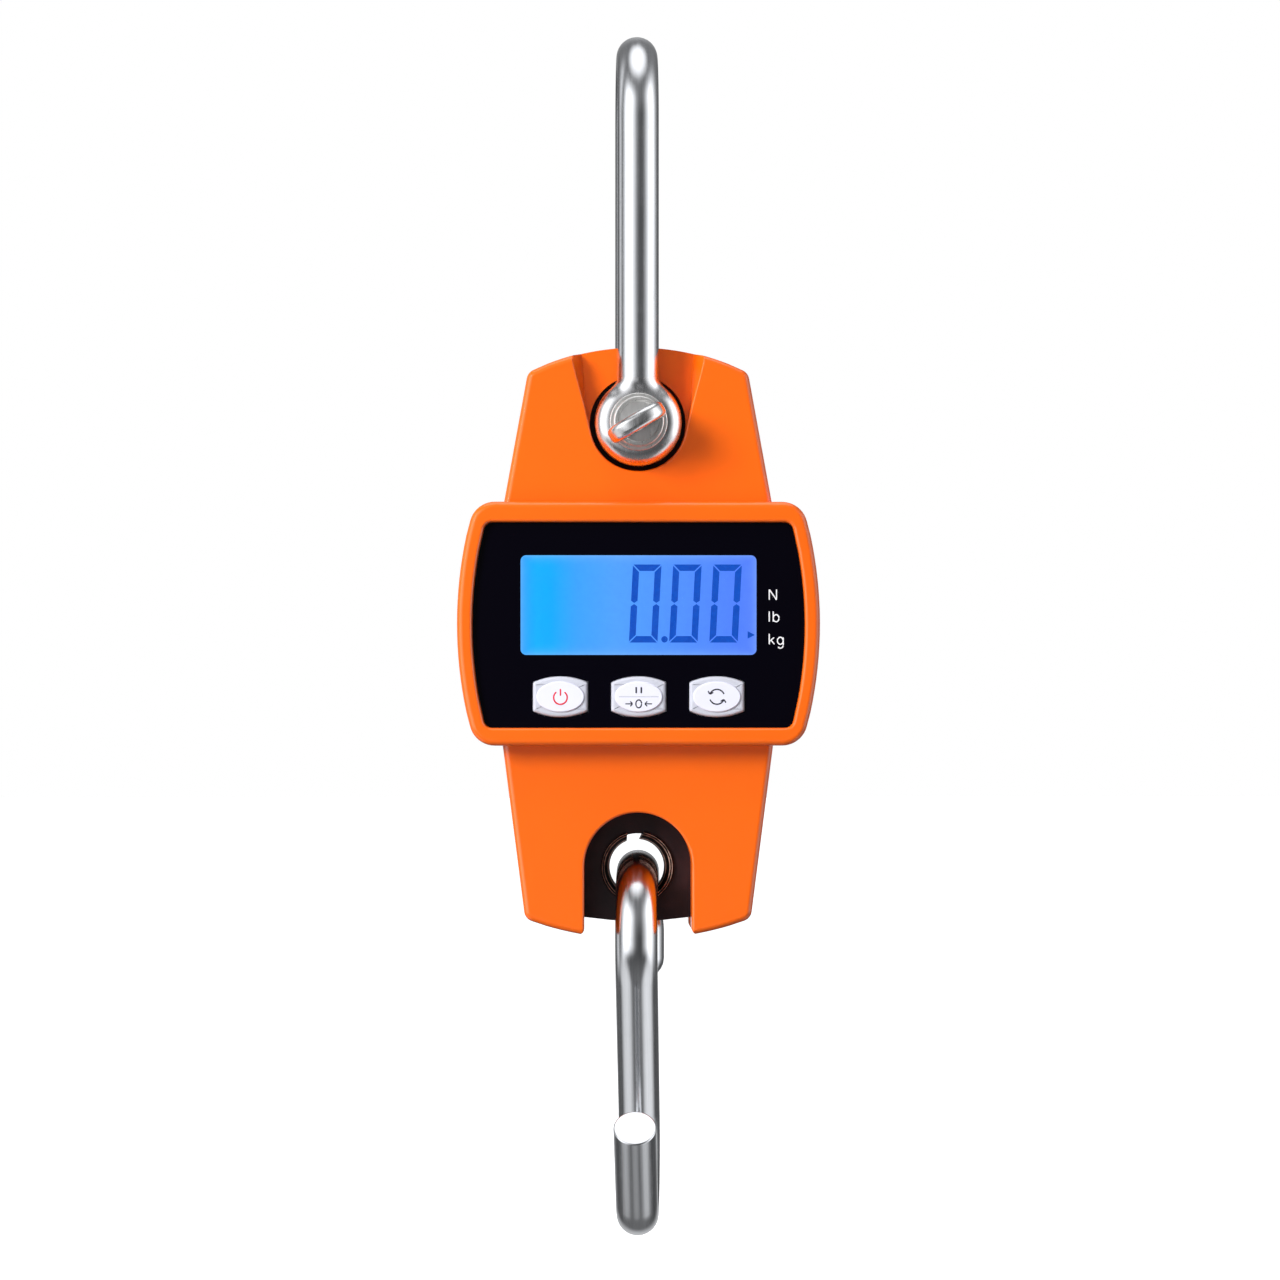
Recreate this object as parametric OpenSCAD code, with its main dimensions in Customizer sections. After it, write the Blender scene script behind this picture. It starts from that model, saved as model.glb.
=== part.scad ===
// Hanging digital fish scale: shackle and screw pin, painted two-shell body
// with a lit number display and three keys, load cell inside, S-hook below.
// Units are millimetres. X runs to the right, -Y is the front, +Z is up.
// The origin is the load point: the inner crown of the shackle's bow.

/* [Shackle] */
// diameter of the shackle's rod
rod_d = 8.9; // [6:0.1:9.2]
// centreline radius of the shackle's bow
bow_r = 14.3; // [14.2:0.1:18]
// load point down to the pin's axis
pin_drop = 76; // [60:1:100]
// outside radius of each eye
eye_r = 9.4; // [8.5:0.1:10]
// thickness of each eye
eye_t = 8.2; // [7:0.1:8.4]
// length of the flare from leg to eye, above the pin's axis
flare_h = 11; // [10:0.5:20]

/* [Screw pin] */
// diameter of the pin's shank
pin_d = 8; // [6:0.5:9]
// radial clearance round the shank
pin_clear = 0.05; // [0.02:0.01:0.1]
// diameter of the collar
collar_d = 10.8; // [10:0.1:12]
// outside diameter of the washer
washer_d = 12.4; // [11.5:0.1:14]
// width of the turning tab
tab_w = 12.6; // [10:0.2:14]
// thickness of the turning tab
tab_t = 3.2; // [2:0.2:4]
// angle of the tab above the horizontal, seen from the front
tab_angle = 30; // [0:5:90]

/* [Body] */
// front of the upper and lower parts, measured from the middle plane
slab_y = 14; // [12:0.5:16]
// front of the display box, measured from the middle plane
box_y = 20; // [18:0.5:22]
// half-width of the display box at its middle
box_half = 39; // [36:0.5:42]
// height of the display box
box_h = 52.4; // [50:0.2:56]
// middle of the display box below the load point
box_drop = 119.4; // [115:0.1:125]
// radius of the display box's curved sides
box_side_r = 90; // [70:5:140]
// corner radius of the display box
box_corner = 5.5; // [4:0.5:7]
// wall thickness of the shells
wall = 2.2; // [1.8:0.1:3]
// edge chamfer of the shells
edge = 1.2; // [0.5:0.1:1.6]
// radius of the pocket round each eye
well_r = 10.4; // [10.2:0.1:11]
// half-width of the channel at the top
channel_half = 13.9; // [13:0.1:15]
// half-width of the arched slot below
slot_half = 11.6; // [11:0.1:13]

/* [Display] */
// window width
lcd_w = 50.7; // [45:0.1:53]
// window height
lcd_h = 21.4; // [18:0.1:24]
// middle of the window below the load point
lcd_drop = 115.4; // [113:0.1:118]
// height of the digits
digit_h = 16.8; // [12:0.1:18]
// width of a digit
digit_w = 6.15; // [5:0.05:8]
// distance from digit to digit
digit_pitch = 8.65; // [7:0.05:10]
// thickness of a digit's strokes
stroke = 1.4; // [1:0.1:2]

/* [Keys] */
// spacing of the three keys
key_pitch = 16.8; // [16.4:0.1:17.4]
// middle of the keys below the load point
key_drop = 135.1; // [134.6:0.1:135.6]
// width of a key
key_w = 11.8; // [10:0.1:12.4]
// height of a key
key_h = 8.8; // [8:0.1:8.9]
// key travel
key_travel = 0.5; // [0.2:0.1:0.6]

/* [Load cell] */
// width of the load cell
cell_w = 28; // [26:0.5:29]
// thickness of the load cell
cell_t = 10; // [8:0.5:11]
// middle of the lower hole below the load point
eyelet_drop = 172.4; // [170:0.1:174]
// radius of the lower hole
eyelet_r = 7.4; // [7:0.1:8]
// bore radius of the split bush
bush_r = 5.7; // [5.6:0.1:5.9]
// width of the split in the bush, at its bore
split_w = 2.7; // [2:0.1:4]

/* [Hook] */
// diameter of the hook's rod
hook_d = 9.2; // [8:0.1:9.6]
// centreline radius of both bends
hook_r = 14; // [13.5:0.1:15]
// middle of the upper bend below the load point
hook_drop = 187.4; // [187.3:0.01:187.45]
// distance between the two bends' middles
hook_span = 47.1; // [44:0.01:56]
// straight length of the rear leg
hook_leg = 6; // [4:0.5:12]
// straight length of the flared tip
hook_tip = 25; // [15:0.5:28]
// turn of the hook about the vertical
hook_yaw = -3.5; // [-5:0.5:5]
// sideways rest of the hook in its bush
hook_shift = 0.25; // [0:0.05:0.25]

/* [Batteries] */
// diameter of a cell
battery_d = 10.5; // [10.5:0.1:14.5]
// length of a cell without its nub
battery_l = 43.7; // [43.7:0.1:50]
// distance from cell to cell
battery_pitch = 11.6; // [11:0.1:15]

/* [Hidden] */
$fn = 64;
rod_r = rod_d / 2;
bow_z = rod_r - bow_r;
pin_z = -pin_drop;
pin_r = pin_d / 2;
pin_bore = pin_r + pin_clear;
eye_in = 9.9;
eye_out = eye_in + eye_t;
leg_foot = eye_r * 0.85;
washer_t = 1;
collar_t = 2;
tab_out = 7.2;
tab_hole_r = 1.4;
pin_end = 18.4;

box_z = -box_drop;
rear_wall = 2.6;
shelf_y = 17.1;
panel_t = 1.5;
box_cavity = 14.9;

shoulder_half = 28.9;
shoulder_z = -93;
top_half = 23.8;
top_corner_z = -65.1;
top_apex_z = -59.5;
skirt_half = 29.1;
skirt_z = -146.6;
foot_half = 24.4;
foot_z = -183.3;
foot_arc_r = 69.85;
foot_arc_z = -117.7;
slab_corner = 2.5;
overlap = 12;
top_rise = top_apex_z - top_corner_z;
top_arc_r = (top_half * top_half + top_rise * top_rise) / (2 * top_rise);
top_arc_z = top_apex_z - top_arc_r;
upper_slope = (shoulder_half - top_half) / (top_corner_z - shoulder_z);
lower_slope = (skirt_half - foot_half) / (skirt_z - foot_z);

floor_y = 9.5;
floor_back = 7.3;
liner_t = 2;
liner_back = 5.1;

screw_r = 1.3;
screw_hole = 1.36;
screw_head_r = 2.6;
sink_r = 2.9;
screw_head_y = 6;
screw_head_t = 2;
screw_end = 7;
boss_front_r = 3;
boss_rear_r = 4.2;
boss_split_x = 25;
screw_sites = [
    [-19.7, -69.6], [19.7, -69.6],
    [-31, -98.3], [31, -98.3],
    [-31, -141], [31, -141],
    [-19, -178.6], [19, -178.6]
];
gasket_out = 1.25;
gasket_in = 2.15;
gasket_half_t = 0.5;
groove_half_t = 0.55;
groove_out = 1.2;

panel_z = -119.7;
panel_half_h = 21.95;
panel_half = 35.6;
panel_side_r = 88;
panel_corner = 1.8;
fit_gap = 0.12;

lcd_z = -lcd_drop;
key_z = -key_drop;
glass_w = 53;
glass_h = 26;
glass_front = 17;
glass_t = 2.2;
light_front = 14.75;
light_t = 2.75;
light_drop = 2.6;
frame_w = 55;
frame_h = 28;
frame_wall = 0.9;
board_front = 11.2;
board_t = 1.6;
board_back = -board_front + board_t;
board_half = 32;
board_low = -137.2;
board_high = -102.5;
board_tail_half = 26.5;
board_tail_low = -141.6;
board_tail_high = -102.1;
post_r = 2.2;
post_hole = 1;
board_hole = 1.1;
board_screw_r = 0.95;
board_screw_l = 3;
board_screw_head = 2;
board_screw_head_t = 1.3;
post_sites = [[-29.8, -106], [29.8, -106], [-29.8, -134], [29.8, -134]];
// left, right, height, low, high of each part on the back of the board
chips = [
    [-5, 5, 1.6, -112, -102.8],
    [-19, -14, 1.2, -118, -112],
    [-24, -20.5, 1.8, -131, -124.5],
    [16, 24, 2.2, -116, -112.5],
    [11, 14.5, 1.2, -133, -130]
];
small_parts = 6;
small_pitch = 4;
small_w = 1.6;
small_h = 0.8;
small_t = 0.7;
zebra_w = 44;
zebra_h = 1.5;

slant = tan(3);
digit_zero_x = 1.45;
digit_z = -115.05;
stroke_gap = 0.12;
dot_x = 5.6;
dot_r = 0.7;
mark_x = 24.3;
mark_z = -121.8;
mark_size = 0.8;

key_front = 19.3;
key_pad_t = 0.35;
key_flange = 14;
key_flange_h = 8.8;
key_flange_t = 1.1;
key_side_h = 6.2;
pad_w = 10.3;
pad_h = 6.6;
stem_r = 1.7;
stem_hole = 1.78;
stem_in = 1.3;
switch_size = 6;
switch_front = 14.7;

cell_half = cell_w / 2;
cell_y = cell_t / 2;
cell_top = -65.6;
cell_bottom = -184.1;
cell_corner = 4;
beam_hole_r = 6;
beam_hole_gap = 22;
beam_z = -125;
beam_slot = 4;
cell_screw_x = 8.5;
cell_screw_z = -91;
cell_screw_r = 1.95;
cell_screw_hole = 2;
cell_screw_head = 3.2;
cell_screw_head_t = 2.2;
cell_boss_r = 4.2;

eyelet_z = -eyelet_drop;
bush_body_r = eyelet_r - 0.05;
bush_lip_r = 7.95;
bush_lip_t = 0.7;
bush_lip_y = cell_y + 0.05;
bush_round = 9;
split_left = -2.2;
split_spread = 0.9;
arch_z = -171.8;

hook_rod_r = hook_d / 2;
hook_z = -hook_drop;
hook_low_z = hook_z - hook_span;
hook_lean = asin(2 * hook_r / hook_span);
hook_straight = hook_span * cos(hook_lean);
tip_turn = 45;
weld = 0.5;
weld_step = 0.02;

gauge_w = 6;
gauge_h = 3.6;
gauge_t = 0.15;
pad_cover_w = 12;
pad_cover_h = 30;
pad_cover_t = 0.8;

door_half = 28.4;
door_half_h = 19.6;
door_corner = 3;
door_ear = 33;
door_ear_h = 4.6;
door_t = 1.4;
door_screw_x = 30.2;
door_boss_r = 2.4;
door_screw_r = 0.95;
door_screw_hole = 1;
door_screw_head = 1.9;
tray_half = 27.5;
tray_half_h = 18.8;
tray_wall = 1.3;
tray_floor_y = 6.4;
tray_mouth_y = 17.35;
battery_y = 12.2;
nub_r = 1.9;
nub_l = 0.8;
contact_t = 0.4;
contact_x = 25.7;
coil_wire = 0.55;
coil_step = 0.85;
coil_turns = 4;
coil_r = 3.4;
coil_taper = 0.45;

lead_r = 0.55;
battery_lead_r = 0.7;
battery_lead_x = 22;
battery_lead_z = -141;

orange = [1, 0.36, 0.08];
steel = [0.74, 0.75, 0.77];
dark_steel = [0.3, 0.3, 0.32];
black = [0.05, 0.05, 0.06];
white = [0.92, 0.92, 0.94];
silver = [0.8, 0.81, 0.84];
blue = [0.1, 0.5, 1];
deep_blue = [0.02, 0.2, 0.6];
board_green = [0.05, 0.35, 0.15];
brass = [0.72, 0.55, 0.25];
grey = [0.4, 0.4, 0.42];
red = [0.75, 0.1, 0.08];

// ---- shared helpers ----

function unit(v) = v / norm(v);

function corner(a, b, c, r, n) =
    r <= 0 ? [[b[0], b[1]]] :
    let(
        p = [b[0], b[1]],
        u = unit([a[0], a[1]] - p),
        v = unit([c[0], c[1]] - p),
        half = acos(u * v) / 2,
        d = r / tan(half),
        mid = p + unit(u + v) * (r / sin(half)),
        s = p + u * d - mid,
        a0 = atan2(s[1], s[0]),
        way = u[0] * v[1] - u[1] * v[0] > 0 ? -1 : 1,
        turn = way * (180 - 2 * half)
    )
    [for (i = [0 : n]) mid + r * [cos(a0 + turn * i / n), sin(a0 + turn * i / n)]];

function round_path(p, n = 5) = [
    for (i = [0 : len(p) - 1])
        each corner(p[(i + len(p) - 1) % len(p)], p[i], p[(i + 1) % len(p)], p[i][2], n)
];

function arc(cx, cy, r, a0, a1, n) = [
    for (i = [0 : n])
        let(a = a0 + (a1 - a0) * i / n)
        [cx + r * cos(a), cy + r * sin(a), 0]
];

// An outline drawn in X and Z, standing between y0 and y1.
module slab(y0, y1) {
    translate([0, y1, 0]) rotate([90, 0, 0]) linear_extrude(y1 - y0) children();
}

// A round bar along Y.
module bar_y(x, z, y0, y1, r) {
    translate([x, y1, z]) rotate([90, 0, 0]) cylinder(h = y1 - y0, r = r);
}

// A disc along Y with rounded rims.
module round_disc(x, z, y0, y1, r, f) {
    t = y1 - y0;
    translate([x, y1, z]) rotate([90, 0, 0]) rotate_extrude() {
        square([r - f, t]);
        translate([0, f]) square([r, t - 2 * f]);
        translate([r - f, f]) circle(f);
        translate([r - f, t - f]) circle(f);
    }
}

module block(x0, x1, y0, y1, z0, z1) {
    translate([x0, y0, z0]) cube([x1 - x0, y1 - y0, z1 - z0]);
}

// How far a screw boss reaches to the wall it stands on.
function reach_front(p) = abs(p[0]) > boss_split_x ? box_cavity + 1 : slab_y - 1;
function reach_rear(p) = abs(p[0]) > boss_split_x ? box_y - 1 : slab_y - 1;

// ---- outlines ----

module upper_outline(t) {
    half_low = shoulder_half + upper_slope * overlap - t;
    half_top = top_half - t;
    r = top_arc_r - t;
    a = acos(half_top / r);
    polygon(round_path([
        [-half_low, shoulder_z - overlap, 0],
        [half_low, shoulder_z - overlap, 0],
        [half_top, top_arc_z + r * sin(a), max(slab_corner - t, 0.3)],
        each [for (p = arc(0, top_arc_z, r, a + 5, 175 - a, 10)) p],
        [-half_top, top_arc_z + r * sin(a), max(slab_corner - t, 0.3)]
    ]));
}

module lower_outline(t) {
    half_top = skirt_half + lower_slope * overlap - t;
    half_foot = foot_half - t;
    r = foot_arc_r - t;
    a = acos(half_foot / r);
    polygon(round_path([
        [half_top, skirt_z + overlap, 0],
        [-half_top, skirt_z + overlap, 0],
        [-half_foot, foot_arc_z - r * sin(a), max(slab_corner - t, 0.3)],
        each [for (p = arc(0, foot_arc_z, r, 180 + a + 4, 356 - a, 10)) p],
        [half_foot, foot_arc_z - r * sin(a), max(slab_corner - t, 0.3)]
    ]));
}

// A barrel: flat top and bottom, curved sides.
module barrel(z, half, half_h, side_r, rad) {
    a = asin(half_h / side_r);
    step = a * 0.72;
    cx = half - side_r;
    polygon(round_path([
        [cx + side_r * cos(a), z - half_h, rad],
        each [for (p = arc(cx, z, side_r, -step, step, 8)) p],
        [cx + side_r * cos(a), z + half_h, rad],
        [-cx - side_r * cos(a), z + half_h, rad],
        each [for (p = arc(-cx, z, side_r, 180 - step, 180 + step, 8)) p],
        [-cx - side_r * cos(a), z - half_h, rad]
    ]));
}

module box_outline(t) {
    barrel(box_z, box_half - t, box_h / 2 - t, box_side_r - t, max(box_corner - t, 1));
}

module panel_outline(gap) {
    barrel(panel_z, panel_half + gap, panel_half_h + gap, panel_side_r, panel_corner + gap);
}

module case_outline(t) {
    upper_outline(t);
    box_outline(t);
    lower_outline(t);
}

module channel_outline(grow) {
    lift = 20;
    r = well_r + grow;
    half = channel_half + grow;
    top = top_apex_z - 1.8;
    dist = norm([half, top - pin_z]);
    touch = atan2(top - pin_z, half) - acos(r / dist);
    polygon([
        [half, top + lift],
        [-half, top + lift],
        [-half, top],
        [-r * cos(touch), pin_z + r * sin(touch)],
        [0, pin_z],
        [r * cos(touch), pin_z + r * sin(touch)],
        [half, top]
    ]);
    translate([0, pin_z]) circle(r);
}

module arch_outline(grow) {
    half = slot_half + grow;
    translate([0, arch_z]) circle(half);
    translate([-half, arch_z - 20]) square([2 * half, 20]);
}

module key_outline(x, gap) {
    half = key_w / 2 + gap;
    half_h = key_h / 2 + gap;
    side = key_side_h / 2 + gap;
    rise = half_h - side;
    r = (half * half + rise * rise) / (2 * rise);
    translate([x, key_z]) intersection() {
        square([2 * half, 2 * half_h], center = true);
        translate([0, half_h - r]) circle(r, $fn = 180);
        translate([0, r - half_h]) circle(r, $fn = 180);
    }
}

module key_flange_outline(x, gap) {
    translate([x, key_z])
        square([key_flange + 2 * gap, key_flange_h + 2 * gap], center = true);
}

module rounded_rect(x, z, w, h, r) {
    polygon(round_path([
        [x - w / 2, z - h / 2, r],
        [x + w / 2, z - h / 2, r],
        [x + w / 2, z + h / 2, r],
        [x - w / 2, z + h / 2, r]
    ]));
}

module door_outline(gap) {
    rounded_rect(0, panel_z, 2 * door_half + 2 * gap, 2 * door_half_h + 2 * gap, door_corner);
    rounded_rect(0, panel_z, 2 * door_ear + 2 * gap, 2 * door_ear_h + 2 * gap, door_corner);
}

// ---- load path ----

module eye(y0, y1) {
    round_disc(0, pin_z, y0, y1, eye_r, 1);
    reach = atan2(flare_h, rod_r) - acos(eye_r / norm([rod_r, flare_h]));
    slab(y0, y1) polygon([
        [-rod_r * 0.75, pin_z + flare_h],
        [-(eye_r - 0.3) * cos(reach), pin_z + (eye_r - 0.3) * sin(reach)],
        [(eye_r - 0.3) * cos(reach), pin_z + (eye_r - 0.3) * sin(reach)],
        [rod_r * 0.75, pin_z + flare_h]
    ]);
}

module shackle() {
    color(steel) difference() {
        union() {
            translate([0, 0, bow_z]) rotate([90, 0, 90])
                rotate_extrude(angle = 180, $fn = 96) translate([bow_r, 0]) circle(rod_r);
            for (side = [-1, 1])
                translate([0, side * bow_r, pin_z + leg_foot])
                    cylinder(h = bow_z - pin_z - leg_foot, r = rod_r);
            eye(-eye_out, -eye_in);
            eye(eye_in, eye_out);
        }
        bar_y(0, pin_z, -eye_out - 1, eye_out + 1, pin_bore);
    }
}

module shackle_pin() {
    face = -eye_out - washer_t;
    tab_back = face - collar_t;
    color(steel) {
        bar_y(0, pin_z, face - 0.5, pin_end - 1, pin_r);
        translate([0, pin_end, pin_z]) rotate([90, 0, 0])
            cylinder(h = 1, r1 = pin_r - 0.8, r2 = pin_r);
        round_disc(0, pin_z, tab_back, face, collar_d / 2, 0.5);
        translate([0, 0, pin_z]) rotate([0, -tab_angle, 0])
            translate([0, tab_back + 0.4, -tab_t / 2]) linear_extrude(tab_t) difference() {
                intersection() {
                    translate([0, tab_w / 2 - tab_out]) circle(tab_w / 2);
                    translate([-tab_w, -tab_out]) square([2 * tab_w, tab_out]);
                }
                translate([0, -tab_out * 0.58]) circle(tab_hole_r);
            }
    }
}

module pin_washer() {
    color(steel) difference() {
        round_disc(0, pin_z, -eye_out - washer_t, -eye_out, washer_d / 2, 0.25);
        bar_y(0, pin_z, -eye_out - 3, -eye_out + 3, pin_bore);
    }
}

module pin_spacers() {
    gap = 0.05;
    color(steel) for (side = [-1, 1])
        difference() {
            bar_y(0, pin_z, side > 0 ? cell_y : -eye_in + gap,
                side > 0 ? eye_in - gap : -cell_y, washer_d / 2 - 0.4);
            bar_y(0, pin_z, -eye_in - 1, eye_in + 1, pin_bore);
        }
}

module cell_outline() {
    r = 75;
    a = asin(cell_half / r);
    polygon(round_path([
        [-cell_half, cell_top, cell_corner],
        [-cell_half, cell_bottom + r - r * cos(a), 1],
        each [for (p = arc(0, cell_bottom + r, r, 270 - a * 0.8, 270 + a * 0.8, 4)) p],
        [cell_half, cell_bottom + r - r * cos(a), 1],
        [cell_half, cell_top, cell_corner]
    ]));
}

module load_cell() {
    color(dark_steel) difference() {
        slab(-cell_y, cell_y) cell_outline();
        bar_y(0, pin_z, -cell_y - 1, cell_y + 1, pin_bore);
        bar_y(0, eyelet_z, -cell_y - 1, cell_y + 1, eyelet_r);
        for (side = [-1, 1]) {
            bar_y(0, beam_z + side * beam_hole_gap / 2, -cell_y - 1, cell_y + 1, beam_hole_r);
            bar_y(side * cell_screw_x, cell_screw_z, -cell_y - 1, cell_y + 1, cell_screw_hole);
        }
        block(-beam_slot / 2, beam_slot / 2, -cell_y - 1, cell_y + 1,
            beam_z - beam_hole_gap / 2, beam_z + beam_hole_gap / 2);
    }
}

module load_cell_screws() {
    color(steel) for (side = [-1, 1]) {
        bar_y(side * cell_screw_x, cell_screw_z, -cell_y, cell_y + 5, cell_screw_r);
        round_disc(side * cell_screw_x, cell_screw_z, -cell_y - cell_screw_head_t, -cell_y,
            cell_screw_head, 0.4);
    }
}

module strain_gauges() {
    color(brass) for (side = [-1, 1], end = [-1, 1])
        translate([0, side * (cell_y + gauge_t / 2), beam_z + end * beam_hole_gap / 2])
            for (x = [-1, 1])
                translate([x * 10, 0, 0]) cube([gauge_h, gauge_t, gauge_w], center = true);
}

module gauge_covers() {
    color(white) for (side = [-1, 1], x = [-1, 1])
        translate([x * 10, side * (cell_y + pad_cover_t / 2), beam_z]) difference() {
            cube([pad_cover_w / 2, pad_cover_t, pad_cover_h], center = true);
            for (end = [-1, 1])
                translate([0, -side * pad_cover_t / 2, end * beam_hole_gap / 2])
                    cube([gauge_h + 0.2, 2 * gauge_t + 0.1, gauge_w + 0.2], center = true);
        }
}

module hook_bush() {
    outer = bush_lip_y + bush_lip_t;
    color(dark_steel) difference() {
        union() {
            bar_y(0, eyelet_z, -bush_lip_y, bush_lip_y, bush_body_r);
            for (side = [-1, 1])
                bar_y(0, eyelet_z, side > 0 ? bush_lip_y : -outer,
                    side > 0 ? outer : -bush_lip_y, bush_lip_r);
        }
        translate([0, 0, eyelet_z]) rotate([90, 0, 0]) rotate_extrude() difference() {
            translate([0, -outer - 1]) square([bush_r + bush_round, 2 * outer + 2]);
            translate([bush_r + bush_round, 0]) circle(bush_round, $fn = 96);
        }
        slab(-outer - 1, outer + 1) polygon([
            [split_left, eyelet_z],
            [split_left + split_w, eyelet_z],
            [split_left + split_w, eyelet_z + bush_r],
            [split_left + split_w + split_spread, eyelet_z + eyelet_r],
            [split_left + split_w + split_spread, eyelet_z + bush_lip_r + 1],
            [split_left, eyelet_z + bush_lip_r + 1]
        ]);
    }
}

// Bend of the hook: rod swept round an axis along X, from angle a0 by turn.
module hook_bend(z, a0, turn) {
    translate([0, 0, z]) rotate([90, 0, 90]) rotate([0, 0, a0])
        rotate_extrude(angle = turn, $fn = 96) translate([hook_r, 0]) circle(hook_rod_r);
}

module hook() {
    // Angles run from +Y towards +Z, so 180 is the front.
    color(steel) translate([hook_shift, 0, 0]) rotate([0, 0, hook_yaw]) {
        hook_bend(hook_z, 0, 90);
        hook_bend(hook_z, 90, 90 + hook_lean);
        translate([0, hook_r, hook_z - hook_leg]) cylinder(h = hook_leg, r = hook_rod_r);
        translate([0, hook_r, hook_z - hook_leg]) sphere(hook_rod_r);
        translate([0, -hook_r * cos(hook_lean), hook_z - hook_r * sin(hook_lean)])
            rotate([180 + hook_lean, 0, 0]) translate([0, 0, -weld])
            cylinder(h = hook_straight + 2 * weld, r = hook_rod_r - weld_step);
        hook_bend(hook_low_z, -90 - tip_turn, 90 + tip_turn + hook_lean);
        translate([0, -hook_r * sin(tip_turn), hook_low_z - hook_r * cos(tip_turn)])
            rotate([90 - tip_turn, 0, 0]) translate([0, 0, -weld])
            cylinder(h = hook_tip + weld, r = hook_rod_r - weld_step);
    }
}

// ---- shells ----

// Solid outside of one shell, drawn towards the front.
module shell_block() {
    hull() {
        slab(-slab_y + edge, 0) upper_outline(0);
        slab(-slab_y, 0) upper_outline(edge);
    }
    hull() {
        slab(-slab_y + edge, 0) lower_outline(0);
        slab(-slab_y, 0) lower_outline(edge);
    }
    hull() {
        slab(-box_y + edge, 0) box_outline(0);
        slab(-box_y, 0) box_outline(edge);
    }
}

// The hollow of one shell, leaving the channel's floor and the slot's walls.
module shell_hollow(box_depth) {
    difference() {
        union() {
            slab(-slab_y + wall, 1) {
                upper_outline(wall);
                lower_outline(wall);
            }
            slab(-box_depth, 1) box_outline(wall);
        }
        slab(-slab_y, -floor_back) intersection() {
            channel_outline(wall);
            upper_outline(0);
        }
        bar_y(0, pin_z, -slab_y, -liner_back, well_r + liner_t);
        slab(-slab_y, -liner_back) intersection() {
            arch_outline(liner_t);
            lower_outline(0);
        }
    }
}

module shell_cuts() {
    slab(-slab_y - 1, -floor_y) channel_outline(0);
    bar_y(0, pin_z, -slab_y, -liner_back + 1, well_r);
    slab(-slab_y - 1, -liner_back + 1) arch_outline(0);
    slab(-liner_back - 0.2, 1) translate([-cell_half - 0.4, cell_bottom - 8])
        square([cell_w + 0.8, 18]);
    difference() {
        slab(-groove_half_t, 1) difference() {
            case_outline(groove_out);
            case_outline(wall + 1);
        }
        for (p = screw_sites)
            bar_y(p[0], p[1], -groove_half_t - 1, 2, boss_front_r);
    }
}

module front_case() {
    color(orange) difference() {
        union() {
            difference() {
                shell_block();
                shell_hollow(box_cavity);
            }
            for (p = screw_sites)
                bar_y(p[0], p[1], -reach_front(p), 0, boss_front_r);
            for (p = post_sites)
                bar_y(p[0], p[1], -box_cavity - 1, -board_front, post_r);
        }
        shell_cuts();
        slab(-box_y - 1, -shelf_y) panel_outline(fit_gap);
        slab(-box_y, -box_cavity + 1) {
            rounded_rect(0, lcd_z, frame_w + 0.4, frame_h + 0.2, 0.3);
            for (i = [-1 : 1])
                key_flange_outline(i * key_pitch, 0.15);
        }
        for (p = screw_sites)
            bar_y(p[0], p[1], -screw_end - 0.5, 1, screw_hole);
        for (p = post_sites)
            bar_y(p[0], p[1], -board_front - board_screw_l - 0.5, -board_front + 1, post_hole);
    }
}

module rear_case() {
    color(orange) difference() {
        union() {
            mirror([0, 1, 0]) difference() {
                shell_block();
                shell_hollow(box_y - rear_wall);
            }
            for (p = screw_sites)
                bar_y(p[0], p[1], 0, reach_rear(p), boss_rear_r);
            for (side = [-1, 1]) {
                bar_y(side * cell_screw_x, cell_screw_z, cell_y, slab_y - 1, cell_boss_r);
                bar_y(side * door_screw_x, panel_z, box_y - 8, box_y - rear_wall, door_boss_r);
            }
        }
        mirror([0, 1, 0]) shell_cuts();
        slab(box_y - door_t - 0.05, box_y + 1) door_outline(fit_gap);
        block(-tray_half + tray_wall, tray_half - tray_wall, box_y - 5, box_y,
            panel_z - tray_half_h + tray_wall, panel_z + tray_half_h - tray_wall);
        for (p = screw_sites) {
            bar_y(p[0], p[1], -1, screw_head_y + 1, screw_hole);
            bar_y(p[0], p[1], screw_head_y, box_y + 1, sink_r);
        }
        for (side = [-1, 1]) {
            bar_y(side * cell_screw_x, cell_screw_z, cell_y - 1, cell_y + 5.5, cell_screw_hole);
            bar_y(side * door_screw_x, panel_z, box_y - 7, box_y, door_screw_hole);
        }
    }
}

module case_gasket() {
    color(black) difference() {
        slab(-gasket_half_t, gasket_half_t) difference() {
            case_outline(gasket_out);
            case_outline(gasket_in);
        }
        slab(-1, 1) translate([-cell_half - 0.4, cell_bottom - 8])
            square([cell_w + 0.8, 18]);
        for (p = screw_sites)
            bar_y(p[0], p[1], -2, 2, boss_rear_r + 0.1);
    }
}

module case_screws() {
    color(dark_steel) for (p = screw_sites) {
        bar_y(p[0], p[1], -screw_end, screw_head_y, screw_r);
        difference() {
            bar_y(p[0], p[1], screw_head_y, screw_head_y + screw_head_t, screw_head_r);
            for (turn = [0, 90])
                translate([p[0], screw_head_y + screw_head_t, p[1]]) rotate([0, turn, 0])
                    cube([3, 2, 0.7], center = true);
        }
    }
}

// ---- display ----

module face_panel() {
    color(black) difference() {
        slab(-shelf_y - panel_t, -shelf_y) panel_outline(0);
        slab(-box_y, -shelf_y + 1) {
            rounded_rect(0, lcd_z, lcd_w, lcd_h, 1.2);
            for (i = [-1 : 1])
                key_outline(i * key_pitch, 0.12);
        }
    }
}

module lcd_window() {
    color([0.8, 0.9, 1, 0.3])
        slab(-shelf_y - panel_t + 0.1, -shelf_y - 0.1)
            rounded_rect(0, lcd_z, lcd_w - 0.1, lcd_h - 0.1, 1.15);
}

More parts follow.
